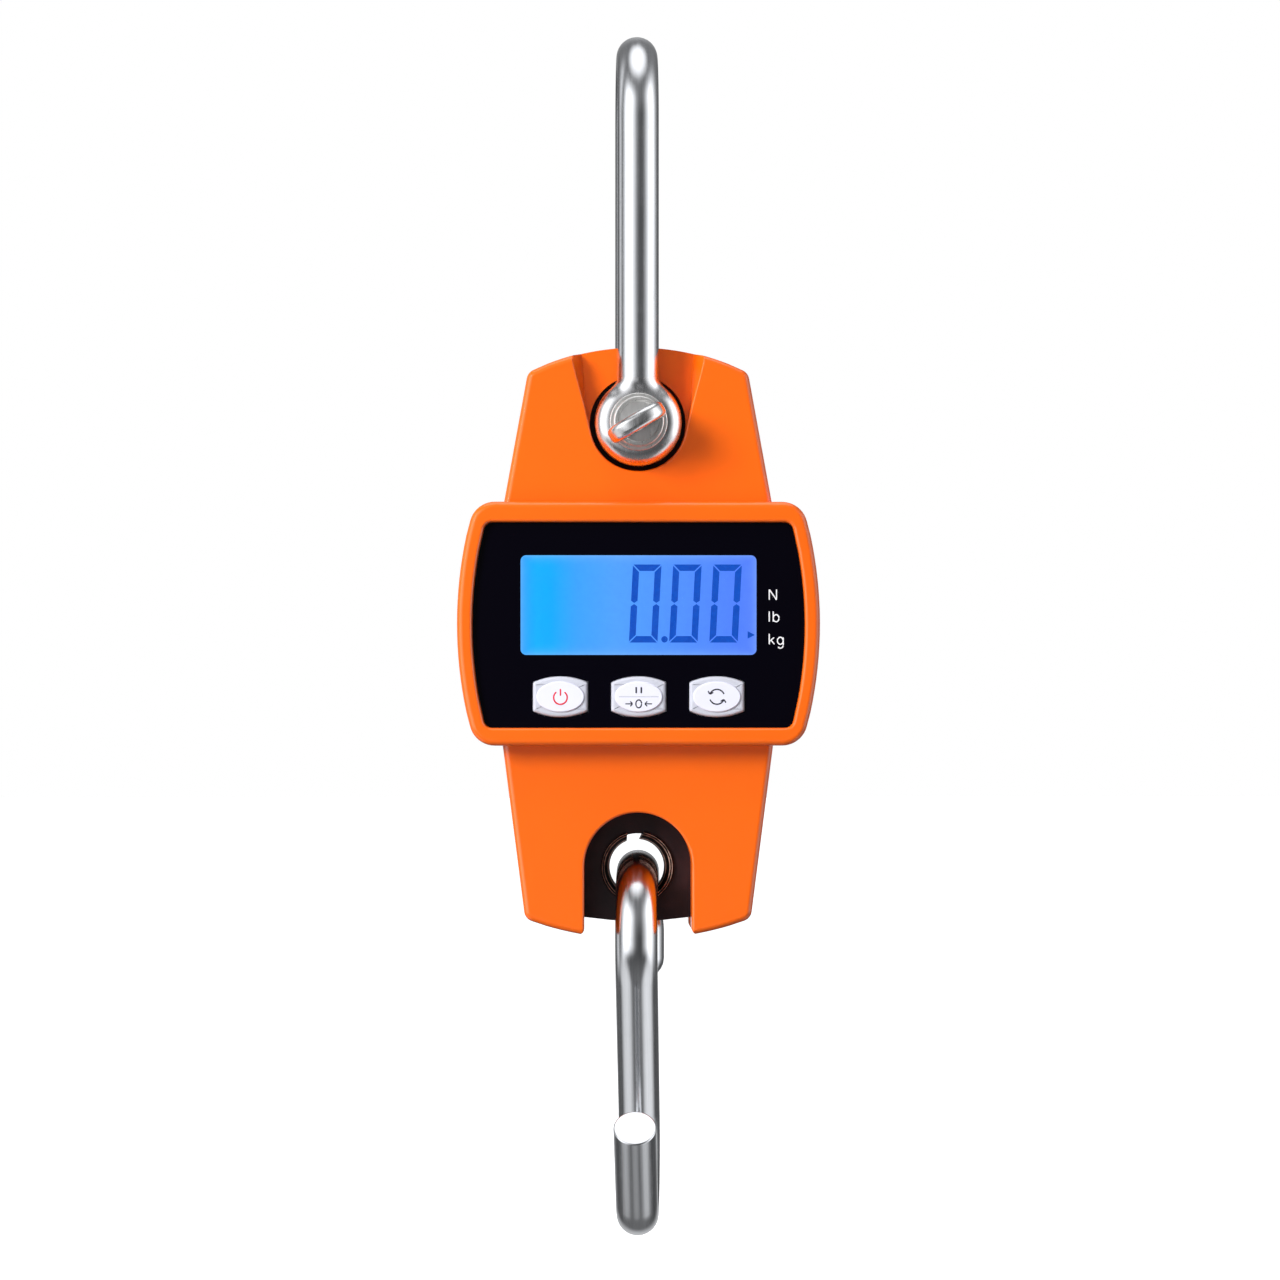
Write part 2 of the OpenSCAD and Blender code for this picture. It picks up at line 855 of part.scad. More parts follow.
module lcd_glass() {
    color(blue) block(-glass_w / 2, glass_w / 2, -glass_front, -glass_front + glass_t,
        lcd_z - glass_h / 2, lcd_z + glass_h / 2);
}

// One seven-part nought without its middle bar, with mitred strokes.
module nought() {
    w = digit_w / 2;
    h = digit_h / 2;
    g = stroke_gap;
    s = stroke;
    for (side = [-1, 1]) {
        polygon([
            [-w + g, side * h],
            [w - g, side * h],
            [w - s - g, side * (h - s)],
            [-w + s + g, side * (h - s)]
        ]);
        for (end = [-1, 1])
            polygon([
                [side * w, end * (h - 2 * g)],
                [side * w, end * (g + s / 3)],
                [side * (w - s / 2), end * g],
                [side * (w - s), end * (g + s / 3)],
                [side * (w - s), end * (h - s - 2 * g)]
            ]);
    }
}

module lcd_segments() {
    back = glass_front + 0.05;
    color(deep_blue) slab(-back, -glass_front) {
        multmatrix([[1, slant, 0, 0], [0, 1, 0, 0], [0, 0, 1, 0], [0, 0, 0, 1]])
            for (i = [0 : 2])
                translate([digit_zero_x + i * digit_pitch - digit_z * slant, digit_z]) nought();
        translate([dot_x, digit_z - digit_h / 2 + dot_r]) circle(dot_r);
        translate([mark_x, mark_z])
            polygon([[-mark_size, -mark_size], [mark_size, 0], [-mark_size, mark_size]]);
    }
}

module lcd_backlight() {
    color(white) block(-glass_w / 2, glass_w / 2, -light_front, -light_front + light_t,
        lcd_z - glass_h / 2 + light_drop, lcd_z + glass_h / 2);
}

module lcd_frame() {
    color(white) difference() {
        block(-frame_w / 2, frame_w / 2, -glass_front, -board_front,
            lcd_z - frame_h / 2, lcd_z + frame_h / 2);
        block(-frame_w / 2 + frame_wall, frame_w / 2 - frame_wall,
            -glass_front - 1, -board_front + 1,
            lcd_z - frame_h / 2 + frame_wall, lcd_z + frame_h / 2 - frame_wall);
    }
}

module lcd_connector() {
    low = lcd_z - glass_h / 2 + 0.5;
    color([0.9, 0.55, 0.6]) block(-zebra_w / 2, zebra_w / 2, -glass_front + glass_t,
        -board_front, low, low + zebra_h);
}

module main_board() {
    color(board_green) difference() {
        slab(-board_front, board_back) {
            translate([-board_half, board_low])
                square([2 * board_half, board_high - board_low]);
            translate([-board_tail_half, board_tail_low])
                square([2 * board_tail_half, board_tail_high - board_tail_low]);
        }
        for (p = post_sites)
            bar_y(p[0], p[1], -board_front - 1, board_back + 1, board_hole);
    }
}

module board_parts() {
    color(black) {
        for (c = chips)
            block(c[0], c[1], board_back, board_back + c[2], c[3], c[4]);
        for (i = [0 : small_parts - 1]) {
            x = (i - small_parts / 2) * small_pitch;
            block(x, x + small_w, board_back, board_back + small_t, board_low,
                board_low + small_h);
        }
    }
}

module board_screws() {
    color(steel) for (p = post_sites) {
        bar_y(p[0], p[1], -board_front - board_screw_l, board_back, board_screw_r);
        round_disc(p[0], p[1], board_back, board_back + board_screw_head_t,
            board_screw_head, 0.4);
    }
}

// ---- keys ----

module tact_switches() {
    color(dark_steel) for (i = [-1 : 1])
        difference() {
            block(i * key_pitch - switch_size / 2, i * key_pitch + switch_size / 2,
                -switch_front, -board_front, key_z - switch_size / 2, key_z + switch_size / 2);
            bar_y(i * key_pitch, key_z, -switch_front - 1,
                -switch_front + stem_in + key_travel + 0.1, stem_hole);
        }
}

module key(x) {
    flange_back = -shelf_y + key_flange_t;
    color(silver) slab(-key_front, -shelf_y + 0.1) key_outline(x, 0);
    color(silver) slab(-shelf_y + 0.05, flange_back) key_flange_outline(x, 0);
    color(white) slab(-key_front - key_pad_t, -key_front) translate([x, key_z])
        polygon([for (a = [0 : 7.5 : 352.5]) [pad_w / 2 * cos(a), pad_h / 2 * sin(a)]]);
}

module stem(x) {
    color(red) bar_y(x, key_z, -shelf_y + key_flange_t, -switch_front + stem_in, stem_r);
}

module power_key() {
    key(-key_pitch);
}

module hold_key() {
    key(0);
}

module unit_key() {
    key(key_pitch);
}

module power_stem() {
    stem(-key_pitch);
}

module hold_stem() {
    stem(0);
}

module unit_stem() {
    stem(key_pitch);
}

// ---- batteries ----

module battery_tray() {
    color(black) {
        difference() {
            block(-tray_half, tray_half, tray_floor_y, tray_mouth_y,
                panel_z - tray_half_h, panel_z + tray_half_h);
            block(-tray_half + tray_wall, tray_half - tray_wall, tray_floor_y + 0.5,
                tray_mouth_y + 1, panel_z - tray_half_h + tray_wall,
                panel_z + tray_half_h - tray_wall);
        }
        for (side = [-1, 1])
            block(-battery_l / 2, battery_l / 2, tray_floor_y + 0.3, tray_floor_y + 3,
                panel_z + side * battery_pitch / 2 - 0.35,
                panel_z + side * battery_pitch / 2 + 0.35);
    }
}

module battery_cells() {
    color(grey) for (i = [-1 : 1]) {
        way = i == 0 ? -1 : 1;
        translate([0, battery_y, panel_z + i * battery_pitch]) rotate([0, way * 90, 0]) {
            translate([0, 0, -battery_l / 2]) cylinder(h = battery_l, r = battery_d / 2);
            translate([0, 0, battery_l / 2 - 0.1]) cylinder(h = nub_l + 0.1, r = nub_r);
        }
    }
}

module coil() {
    for (i = [0 : coil_turns - 1])
        translate([0, 0, i * coil_step]) rotate_extrude()
            translate([coil_r - i * coil_taper, 0]) circle(coil_wire, $fn = 24);
}

module battery_contacts() {
    color(silver) for (i = [-1 : 1], side = [-1, 1]) {
        way = i == 0 ? -1 : 1;
        translate([side * (contact_x + contact_t / 2), battery_y, panel_z + i * battery_pitch])
            cube([contact_t, 8.6, 8.6], center = true);
        if (side == -way)
            translate([side * (contact_x - coil_wire + 0.15), battery_y,
                panel_z + i * battery_pitch])
                rotate([0, -side * 90, 0]) coil();
        else
            translate([side * contact_x, battery_y, panel_z + i * battery_pitch])
                rotate([0, -side * 90, 0])
                cylinder(h = contact_x - battery_l / 2 - nub_l - 0.05, r = 1.6);
    }
}

module battery_door() {
    color(orange) difference() {
        slab(box_y - door_t, box_y) door_outline(0);
        for (side = [-1, 1])
            bar_y(side * door_screw_x, panel_z, box_y - 3, box_y + 1, door_screw_hole);
        for (side = [-1, 1])
            bar_y(side * door_screw_x, panel_z, box_y - 0.8, box_y + 1, door_screw_head + 0.1);
        for (i = [0 : 3])
            block(-8, 8, box_y - 0.4, box_y + 1, panel_z + 11 + 1.6 * i, panel_z + 11.8 + 1.6 * i);
    }
}

module battery_door_screws() {
    color(dark_steel) for (side = [-1, 1]) {
        bar_y(side * door_screw_x, panel_z, box_y - 6.5, box_y - 0.8, door_screw_r);
        difference() {
            bar_y(side * door_screw_x, panel_z, box_y - 0.8, box_y, door_screw_head);
            for (turn = [0, 90])
                translate([side * door_screw_x, box_y, panel_z]) rotate([0, turn, 0])
                    cube([2.4, 0.9, 0.6], center = true);
        }
    }
}

// ---- leads ----

module load_cell_leads() {
    from = -cell_y - pad_cover_t;
    run_y = -7.4;
    color(red) for (i = [0 : 3]) {
        x = 8 + 1.3 * i;
        z0 = beam_z + 12 - 1.5 * i;
        z1 = z0 - 6;
        bar_y(x, z0, run_y, from, lead_r);
        translate([x, run_y, z0]) sphere(lead_r);
        translate([x, run_y, z1]) cylinder(h = z0 - z1, r = lead_r);
        translate([x, run_y, z1]) sphere(lead_r);
        bar_y(x, z1, board_back, run_y, lead_r);
    }
}

module battery_leads() {
    color(red) for (side = [-1, 1])
        bar_y(side * battery_lead_x, battery_lead_z + 6.5, board_back, tray_floor_y,
            battery_lead_r);
}

shackle();
shackle_pin();
pin_washer();
pin_spacers();
front_case();
rear_case();
case_gasket();
case_screws();
load_cell();
load_cell_screws();
strain_gauges();
gauge_covers();
hook_bush();
hook();
face_panel();
lcd_window();
lcd_glass();
lcd_segments();
lcd_backlight();
lcd_frame();
lcd_connector();
main_board();
board_parts();
board_screws();
tact_switches();
power_key();
hold_key();
unit_key();
power_stem();
hold_stem();
unit_stem();
battery_tray();
battery_cells();
battery_contacts();
battery_door();
battery_door_screws();
load_cell_leads();
battery_leads();
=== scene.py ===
import math

import bmesh
import bpy
from mathutils import Matrix, Vector


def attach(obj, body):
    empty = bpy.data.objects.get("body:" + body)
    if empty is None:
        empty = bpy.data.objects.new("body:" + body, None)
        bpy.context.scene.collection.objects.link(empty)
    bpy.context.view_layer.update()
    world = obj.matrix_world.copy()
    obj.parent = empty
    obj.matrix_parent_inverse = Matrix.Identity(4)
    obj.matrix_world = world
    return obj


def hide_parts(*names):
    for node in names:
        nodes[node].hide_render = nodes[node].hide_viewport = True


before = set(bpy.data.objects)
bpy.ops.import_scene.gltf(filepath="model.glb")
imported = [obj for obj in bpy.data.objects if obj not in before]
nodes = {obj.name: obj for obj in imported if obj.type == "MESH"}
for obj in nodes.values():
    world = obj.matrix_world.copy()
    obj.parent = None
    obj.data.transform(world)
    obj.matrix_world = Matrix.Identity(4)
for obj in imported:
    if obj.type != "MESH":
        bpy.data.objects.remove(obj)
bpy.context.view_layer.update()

MM = 0.001

# ---- sizes in millimetres, the same as the part's ----

BOW_R, ROD_R, BOW_Z, PIN_Z = 14.3, 4.45, -9.85, -76.0
EYE_R, EYE_Y, EYE_HALF, EYE_RIM, FLARE_Z, FLARE_ANGLE = 9.4, 14.0, 4.1, 3.3, 9.6, 46.0
WASHER_R = 6.3
PIN_R, PIN_BORE, PIN_END = 4.0, 4.05, 18.4
COLLAR_R, COLLAR_BACK, COLLAR_FRONT, COLLAR_DISH = 5.4, -19.13, -21.1, 0.45
COLLAR_ROUND, PIN_CHAMFER, BORE_CHAMFER = 0.35, 0.8, 0.45
TAB_W, TAB_T, TAB_OUT, TAB_ANGLE, TAB_HOLE, TAB_BOXY = 13.4, 3.6, 7.2, 30.0, 1.4, 0.8
TAB_SHIFT, TAB_ROUND = 0.5, 1.2

SLAB_Y, BOX_Y, WALL, REAR_WALL = 14.0, 20.0, 2.2, 2.6
BOX_Z, BOX_H, BOX_HALF, BOX_SIDE_R, BOX_CORNER = -119.4, 52.4, 39.0, 90.0, 5.5
SHOULDER_HALF, SHOULDER_Z, TOP_HALF = 28.9, -93.0, 23.8
TOP_CORNER_Z, TOP_APEX_Z = -65.1, -59.5
SKIRT_HALF, SKIRT_Z, FOOT_HALF, FOOT_Z = 29.1, -146.6, 24.4, -183.3
FOOT_ARC_R, FOOT_ARC_Z, SLAB_CORNER, OVERLAP = 69.85, -117.7, 2.5, 12.0
WELL_R, CHANNEL_HALF, CHANNEL_TOP = 10.4, 13.9, -61.3
FLOOR_Y, FLOOR_BACK, LINER_T, LINER_BACK = 9.5, 7.3, 2.0, 5.1
SLOT_HALF, ARCH_Z, FOOT_CUT, FOOT_ROUND = 11.6, -171.8, 20.0, 1.4
BOX_CAVITY, SHELF_Y, BOARD_FRONT = 14.9, 17.1, 11.2
CELL_HALF, CELL_BOTTOM = 14.0, -184.1
SCREWS = [(x * s, z) for x, z in ((19.7, -69.6), (31, -98.3), (31, -141), (19, -178.6))
          for s in (-1, 1)]
POSTS = [(x * s, z) for x, z in ((29.8, -106), (29.8, -134)) for s in (-1, 1)]
CELL_SCREWS = [(8.5 * s, -91) for s in (-1, 1)]

PANEL_Z, PANEL_HALF_H, PANEL_HALF, PANEL_SIDE_R, PANEL_CORNER = -119.7, 21.95, 35.6, 88.0, 1.8
PANEL_FRONT = -18.6
LCD_W, LCD_H, LCD_Z = 50.7, 21.4, -115.4
KEY_PITCH, KEY_Z, KEY_W, KEY_H, KEY_SIDE_H = 16.8, -135.1, 11.8, 8.8, 6.2
KEY_FRONT, PAD_FRONT, PAD_W, PAD_H = -19.3, -19.65, 10.3, 6.6
DOOR_HALF, DOOR_HALF_H, DOOR_EAR, DOOR_EAR_H, DOOR_T, DOOR_SCREW_X = 28.4, 19.6, 33.0, 4.6, 1.4, 30.2
TRAY_HALF, TRAY_HALF_H, TRAY_WALL = 27.5, 18.8, 1.3

EYELET_Z, EYELET_R, BUSH_R, BUSH_LIP_R, BUSH_SADDLE = -172.4, 7.4, 5.93, 7.95, 8.8
HOOK_R, HOOK_ROD, HOOK_Z, HOOK_SPAN, HOOK_LEG = 14.0, 4.6, -187.4, 47.1, 6.0
HOOK_TIP, TIP_TURN, HOOK_YAW, HOOK_SHIFT = 25.0, 45.0, -2.6, 0.25
HOOK_SPLAY, SPLAY_ANGLE = 0.9, 30


# ---- outlines: lists of (x, z), anticlockwise seen from the front ----

def arc(cx, cz, r, a0, a1, n):
    """Points on an arc from angle a0 to a1, in degrees."""
    return [(cx + r * math.cos(math.radians(a0 + (a1 - a0) * i / n)),
             cz + r * math.sin(math.radians(a0 + (a1 - a0) * i / n))) for i in range(n + 1)]


def flipped(points):
    """The left side's points from the right side's, in running order."""
    return [(-x, z) for x, z in reversed(points)]


def rounded(points, n=8):
    """A polygon of (x, z) and (x, z, radius), with each corner that has a radius rounded."""
    out = []
    for i, (x, z, *corner) in enumerate(points):
        if not corner:
            out.append((x, z))
            continue
        r = corner[0]
        p = Vector((x, z))
        u = (Vector(points[i - 1][:2]) - p).normalized()
        v = (Vector(points[(i + 1) % len(points)][:2]) - p).normalized()
        half = math.acos(max(-1, min(1, u.dot(v)))) / 2
        mid = p + (u + v).normalized() * (r / math.sin(half))
        start = p + u * (r / math.tan(half)) - mid
        a0 = math.degrees(math.atan2(start.y, start.x))
        turn = 180 - 2 * math.degrees(half)
        way = -1 if u.x * v.y - u.y * v.x > 0 else 1
        out += arc(mid.x, mid.y, r, a0, a0 + way * turn, n)
    return out


def tidy(points):
    """The outline without doubled points, anticlockwise."""
    out = []
    for p in points:
        if not out or math.dist(p, out[-1]) > 1e-4:
            out.append(p)
    if math.dist(out[0], out[-1]) < 1e-4:
        out.pop()
    area = sum(a[0] * b[1] - b[0] * a[1] for a, b in zip(out, out[1:] + out[:1]))
    return out if area > 0 else out[::-1]


def normals(points):
    """Outward mitre vectors of an outline's points."""
    out = []
    for i, p in enumerate(points):
        a, b = points[i - 1], points[(i + 1) % len(points)]
        n1 = Vector((p[1] - a[1], a[0] - p[0])).normalized()
        n2 = Vector((b[1] - p[1], p[0] - b[0])).normalized()
        m = n1 + n2
        m = n1 if m.length < 1e-6 else m.normalized()
        out.append(m / max(m.dot(n1), 0.4))
    return out


def upper_outline():
    low = SHOULDER_HALF + (SHOULDER_HALF - TOP_HALF) / (TOP_CORNER_Z - SHOULDER_Z) * OVERLAP
    rise = TOP_APEX_Z - TOP_CORNER_Z
    r = (TOP_HALF ** 2 + rise ** 2) / (2 * rise)
    cz = TOP_APEX_Z - r
    a = math.degrees(math.acos(TOP_HALF / r))
    return tidy(rounded([
        (-low, SHOULDER_Z - OVERLAP), (low, SHOULDER_Z - OVERLAP),
        (TOP_HALF, TOP_CORNER_Z, SLAB_CORNER), *arc(0, cz, r, a + 5, 175 - a, 24),
        (-TOP_HALF, TOP_CORNER_Z, SLAB_CORNER)]))


def lower_outline():
    top = SKIRT_HALF + (SKIRT_HALF - FOOT_HALF) / (SKIRT_Z - FOOT_Z) * OVERLAP
    a = math.degrees(math.acos(FOOT_HALF / FOOT_ARC_R))
    foot = FOOT_ARC_Z - FOOT_ARC_R * math.sin(math.radians(a))
    return tidy(rounded([
        (top, SKIRT_Z + OVERLAP), (-top, SKIRT_Z + OVERLAP),
        (-FOOT_HALF, foot, SLAB_CORNER), *arc(0, FOOT_ARC_Z, FOOT_ARC_R, 184 + a, 356 - a, 24),
        (FOOT_HALF, foot, SLAB_CORNER)]))


def barrel(z, half, half_h, side_r, corner):
    """Flat top and bottom, curved sides."""
    a = math.degrees(math.asin(half_h / side_r))
    step = a * 0.72
    cx = half - side_r
    edge = cx + side_r * math.cos(math.radians(a))
    return tidy(rounded([
        (edge, z - half_h, corner), *arc(cx, z, side_r, -step, step, 16),
        (edge, z + half_h, corner), (-edge, z + half_h, corner),
        *arc(-cx, z, side_r, 180 - step, 180 + step, 16),
        (-edge, z - half_h, corner)], 10))


def box_outline():
    return barrel(BOX_Z, BOX_HALF, BOX_H / 2, BOX_SIDE_R, BOX_CORNER)


def rectangle(x, z, w, h, corner, n=8):
    return tidy(rounded([(x - w / 2, z - h / 2, corner), (x + w / 2, z - h / 2, corner),
                         (x + w / 2, z + h / 2, corner), (x - w / 2, z + h / 2, corner)], n))


def circle(x, z, r, n=64):
    return arc(x, z, r, 0, 360 - 360 / n, n - 1)


def channel_outline():
    """The V above the eye with the round of the well below it."""
    dist = math.hypot(CHANNEL_HALF, CHANNEL_TOP - PIN_Z)
    touch = math.degrees(math.atan2(CHANNEL_TOP - PIN_Z, CHANNEL_HALF)
                         - math.acos(WELL_R / dist))
    lift = 20
    tip = Vector((CHANNEL_HALF, CHANNEL_TOP))
    foot = Vector((WELL_R * math.cos(math.radians(touch)),
                   PIN_Z + WELL_R * math.sin(math.radians(touch))))
    right = [tuple(foot.lerp(tip, i / 8)) for i in range(1, 8)]
    return tidy(arc(0, PIN_Z, WELL_R, 180 - touch, 360 + touch, 48) + right
                + [(CHANNEL_HALF, CHANNEL_TOP), (CHANNEL_HALF, TOP_APEX_Z + lift),
                   (-CHANNEL_HALF, TOP_APEX_Z + lift), (-CHANNEL_HALF, CHANNEL_TOP)] + flipped(right))


def arch_outline(flare=0.0):
    """The hook's slot, with its lower corners flared into the foot's edge."""
    low = FOOT_ARC_Z - math.sqrt(FOOT_ARC_R ** 2 - SLOT_HALF ** 2)
    half = SLOT_HALF + flare
    side = arc(half, low + flare, flare, 270, 180, 8) if flare else []
    return tidy([(-half, ARCH_Z - FOOT_CUT), (half, ARCH_Z - FOOT_CUT)] + side
                + arc(0, ARCH_Z, SLOT_HALF, 0, 180, 48) + flipped(side))


def key_outline(x):
    """Straight sides, curved top and bottom."""
    half, half_h, side = KEY_W / 2, KEY_H / 2, KEY_SIDE_H / 2
    rise = half_h - side
    r = (half * half + rise * rise) / (2 * rise)
    a = math.degrees(math.asin(half / r))
    turn, corner = a * 0.86, 0.6
    return tidy(rounded([
        (x + half, KEY_Z - side, corner), (x + half, KEY_Z + side, corner),
        *arc(x, KEY_Z + half_h - r, r, 90 - turn, 90 + turn, 14),
        (x - half, KEY_Z + side, corner), (x - half, KEY_Z - side, corner),
        *arc(x, KEY_Z - half_h + r, r, 270 - turn, 270 + turn, 14)], 5))


def ellipse(x, z, w, h, n=64):
    """An ellipse of half-widths w and h."""
    return [(x + w * math.cos(2 * math.pi * i / n), z + h * math.sin(2 * math.pi * i / n))
            for i in range(n)]


# ---- meshes in millimetres ----

def skin(verts, rows, closed=False, weld=0.0):
    """A mesh over rows of points, each row a ring, with points closer than weld merged.

    Closed joins the last row to the first. Otherwise both ends get a cap."""
    n = len(verts) // rows
    faces = []
    for k in range(rows if closed else rows - 1):
        a, b = k * n, (k + 1) % rows * n
        faces += [(a + i, a + (i + 1) % n, b + (i + 1) % n, b + i) for i in range(n)]
    if not closed:
        faces += [tuple(range(n - 1, -1, -1)), tuple(range((rows - 1) * n, rows * n))]
    mesh = bpy.data.meshes.new("work")
    mesh.from_pydata([tuple(v) for v in verts], [], faces)
    bm = bmesh.new()
    bm.from_mesh(mesh)
    bmesh.ops.recalc_face_normals(bm, faces=bm.faces)
    if weld:
        bmesh.ops.remove_doubles(bm, verts=bm.verts, dist=weld)
    bm.to_mesh(mesh)
    bm.free()
    return mesh


def add_grain(mesh, places):
    """Store a place for each point, for the drawing lines in the metal."""
    attribute = mesh.attributes.new("grain", "FLOAT_VECTOR", "POINT")
    attribute.data.foreach_set("vector", [c * MM for place in places for c in place])
    return mesh


def loft(outline, layers):
    """A closed solid of one outline at several depths.

    Each layer is (y, inset), where the inset is one number or a list with one for each point."""
    push = normals(outline)
    verts = []
    for y, by in layers:
        for i, (x, z) in enumerate(outline):
            d = by[i] if isinstance(by, list) else by
            verts.append((x - push[i].x * d, y, z - push[i].y * d))
    return skin(verts, len(layers))


def fillet(y, r, n=5, front=True):
    """Layers that round an edge at depth y, going towards the front (or away from the back)."""
    steps = [math.radians(90 * k / n) for k in range(n + 1)]
    if front:
        return [(y + r - r * math.sin(a), r - r * math.cos(a)) for a in steps]
    return [(y - r + r * math.sin(a), r - r * math.cos(a)) for a in reversed(steps)]


def rim(y, r, n=5):
    """Layers of a cutter that leave a rounded rim at the surface y, going towards the front."""
    return [(depth, -inset) for depth, inset in fillet(y, r, n)]


def lathe(profile, x, z, n=96):
    """A solid turned about Y at (x, z). The profile is a closed list of (radius, y)."""
    verts = []
    for i in range(n):
        a = 2 * math.pi * i / n
        verts += [(x + r * math.cos(a), y, z + r * math.sin(a)) for r, y in profile]
    return skin(verts, n, True, 1e-5)


def sweep(path, r, n=48, start=0.0, end=0.0, flat=1.0):
    """A round rod along a path, its ends rounded by start and end, and flattened in Y by flat."""
    pts = [Vector(p) for p in path]
    tangents = [(pts[min(i + 1, len(pts) - 1)] - pts[max(i - 1, 0)]).normalized()
                for i in range(len(pts))]
    side = tangents[0].orthogonal().normalized()
    stations, along = [], 0.0
    for i, (p, t) in enumerate(zip(pts, tangents)):
        side = (side - t * side.dot(t)).normalized()
        along += (p - pts[i - 1]).length if i else 0
        stations.append((p, t, side.copy(), t.cross(side), r, along))
    for at, depth, way in ((0, start, 1), (-1, end, -1)):
        if depth <= 0:
            continue
        p, t, u, v, _, s = stations[at]
        caps = []
        for k in range(7):
            a = math.radians(90 * k / 6)
            caps.append((p + t * way * depth * (1 - math.sin(a)), t, u, v,
                         r - depth + depth * math.cos(a), s))
        if at == 0:
            stations = caps[::-1] + [q for q in stations[1:] if q[5] - s > depth]
        else:
            stations = [q for q in stations[:-1] if s - q[5] > depth] + caps
    verts, grain = [], []
    for p, t, u, v, rad, s in stations:
        for i in range(n):
            a = 2 * math.pi * i / n
            off = (u * math.cos(a) + v * math.sin(a)) * max(rad, 0.02)
            verts.append(Vector((p.x + off.x, p.y + off.y * flat, p.z + off.z)))
            grain.append((r * math.cos(a), r * math.sin(a), s))
    return add_grain(skin(verts, len(stations)), grain)


def joined(*meshes):
    """Several meshes as one, with their separate islands."""
    bm = bmesh.new()
    for m in meshes:
        bm.from_mesh(m)
    out = bpy.data.meshes.new("work")
    bm.to_mesh(out)
    bm.free()
    return out


def cut(mesh, other, operation="DIFFERENCE"):
    """The mesh after one boolean with another."""
    a = bpy.data.objects.new("work_a", mesh)
    b = bpy.data.objects.new("work_b", other)
    for o in (a, b):
        bpy.context.scene.collection.objects.link(o)
    m = a.modifiers.new("cut", "BOOLEAN")
    m.operation, m.object, m.solver = operation, b, "MANIFOLD"
    graph = bpy.context.evaluated_depsgraph_get()
    out = bpy.data.meshes.new_from_object(a.evaluated_get(graph))
    if len(out.polygons) == 0:
        m.solver = "EXACT"
        graph = bpy.context.evaluated_depsgraph_get()
        out = bpy.data.meshes.new_from_object(a.evaluated_get(graph))
    for o in (a, b):
        bpy.data.objects.remove(o)
    return out


def cuts(mesh, *others):
    for other in others:
        mesh = cut(mesh, other)
    return mesh


def fused(mesh, *others):
    for other in others:
        mesh = cut(mesh, other, "UNION")
    return mesh


def piece(name, mesh, body, material, replaces=(), angle=32, weighted=True):
    """A finished piece in metres, riding on its body."""
    mesh.transform(Matrix.Scale(MM, 4))
    mesh.name = name
    mesh.materials.clear()
    mesh.materials.append(M[material])
    for p in mesh.polygons:
        p.use_smooth = True
        p.material_index = 0
    mesh.set_sharp_from_angle(angle=math.radians(angle))
    obj = bpy.data.objects.new(name, mesh)
    bpy.context.scene.collection.objects.link(obj)
    if weighted:
        shading = obj.modifiers.new("shade", "WEIGHTED_NORMAL")
        shading.keep_sharp = True
        shading.weight = 80
    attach(obj, body)
    if replaces:
        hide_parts(*replaces)


# ---- materials ----

class Nodes:
    """A node tree, with short ways to add nodes. Inputs are values or other nodes' sockets."""

    def __init__(self, tree):
        self.nodes, self.links = tree.nodes, tree.links
        self.nodes.clear()

    def add(self, kind, inputs=(), **settings):
        node = self.nodes.new(kind)
        for k, v in settings.items():
            setattr(node, k, v)
        for k, v in dict(inputs).items():
            self.put(node.inputs[k], v)
        return node

    def put(self, socket, value):
        if isinstance(value, bpy.types.NodeSocket):
            self.links.new(value, socket)
        elif isinstance(value, tuple) and socket.type == "RGBA":
            socket.default_value = (*value, 1)
        else:
            socket.default_value = value

    def place(self, scale=(1, 1, 1), grain=False):
        """Object coordinates, or a rod's grain coordinates, stretched by scale."""
        if grain:
            source = self.add("ShaderNodeAttribute", attribute_name="grain").outputs["Vector"]
        else:
            source = self.add("ShaderNodeTexCoord").outputs["Object"]
        return self.add("ShaderNodeMapping", {"Vector": source, "Scale": scale}).outputs[0]

    def parts(self, source=None):
        """The X, Y and Z of the source, or else of the object coordinates."""
        source = source or self.add("ShaderNodeTexCoord").outputs["Object"]
        return self.add("ShaderNodeSeparateXYZ", {0: source}).outputs

    def noise(self, where, scale, detail=3.0, rough=0.5):
        return self.add("ShaderNodeTexNoise", {"Vector": where, "Scale": scale, "Detail": detail,
                                               "Roughness": rough}).outputs["Fac"]

    def range(self, value, a, b, low=0.0, high=1.0, kind="LINEAR"):
        return self.add("ShaderNodeMapRange", {"Value": value, "From Min": a, "From Max": b, "To Min": low,
                                               "To Max": high}, interpolation_type=kind).outputs[0]

    def ramp(self, value, *stops):
        n = self.add("ShaderNodeValToRGB", {0: value})
        e = n.color_ramp.elements
        while len(e) < len(stops):
            e.new(0.5)
        for item, (at, colour) in zip(e, stops):
            item.position = at
            item.color = (*colour, 1)
        return n.outputs[0]

    def maths(self, kind, a, b=0.0):
        return self.add("ShaderNodeMath", {0: a, 1: b}, operation=kind).outputs[0]

    def reach(self, a, b):
        """The length of the flat vector (a, b)."""
        squares = self.maths("MULTIPLY", a, a), self.maths("MULTIPLY", b, b)
        return self.maths("SQRT", self.maths("ADD", *squares))

    def mix(self, fac, a, b):
        return self.add("ShaderNodeMix", {0: fac, 6: a, 7: b}, data_type="RGBA").outputs[2]

    def vary(self, fac, colour, by):
        """The colour made darker to lighter by a share, as a noise rises."""
        return self.mix(self.range(fac, 0.3, 0.7), shade(colour, 1 - by), shade(colour, 1 + by))

    def bump(self, height, strength, distance, below=None):
        n = self.add("ShaderNodeBump", {"Height": height, "Strength": strength, "Distance": distance})
        if below is not None:
            self.put(n.inputs["Normal"], below)
        return n.outputs[0]


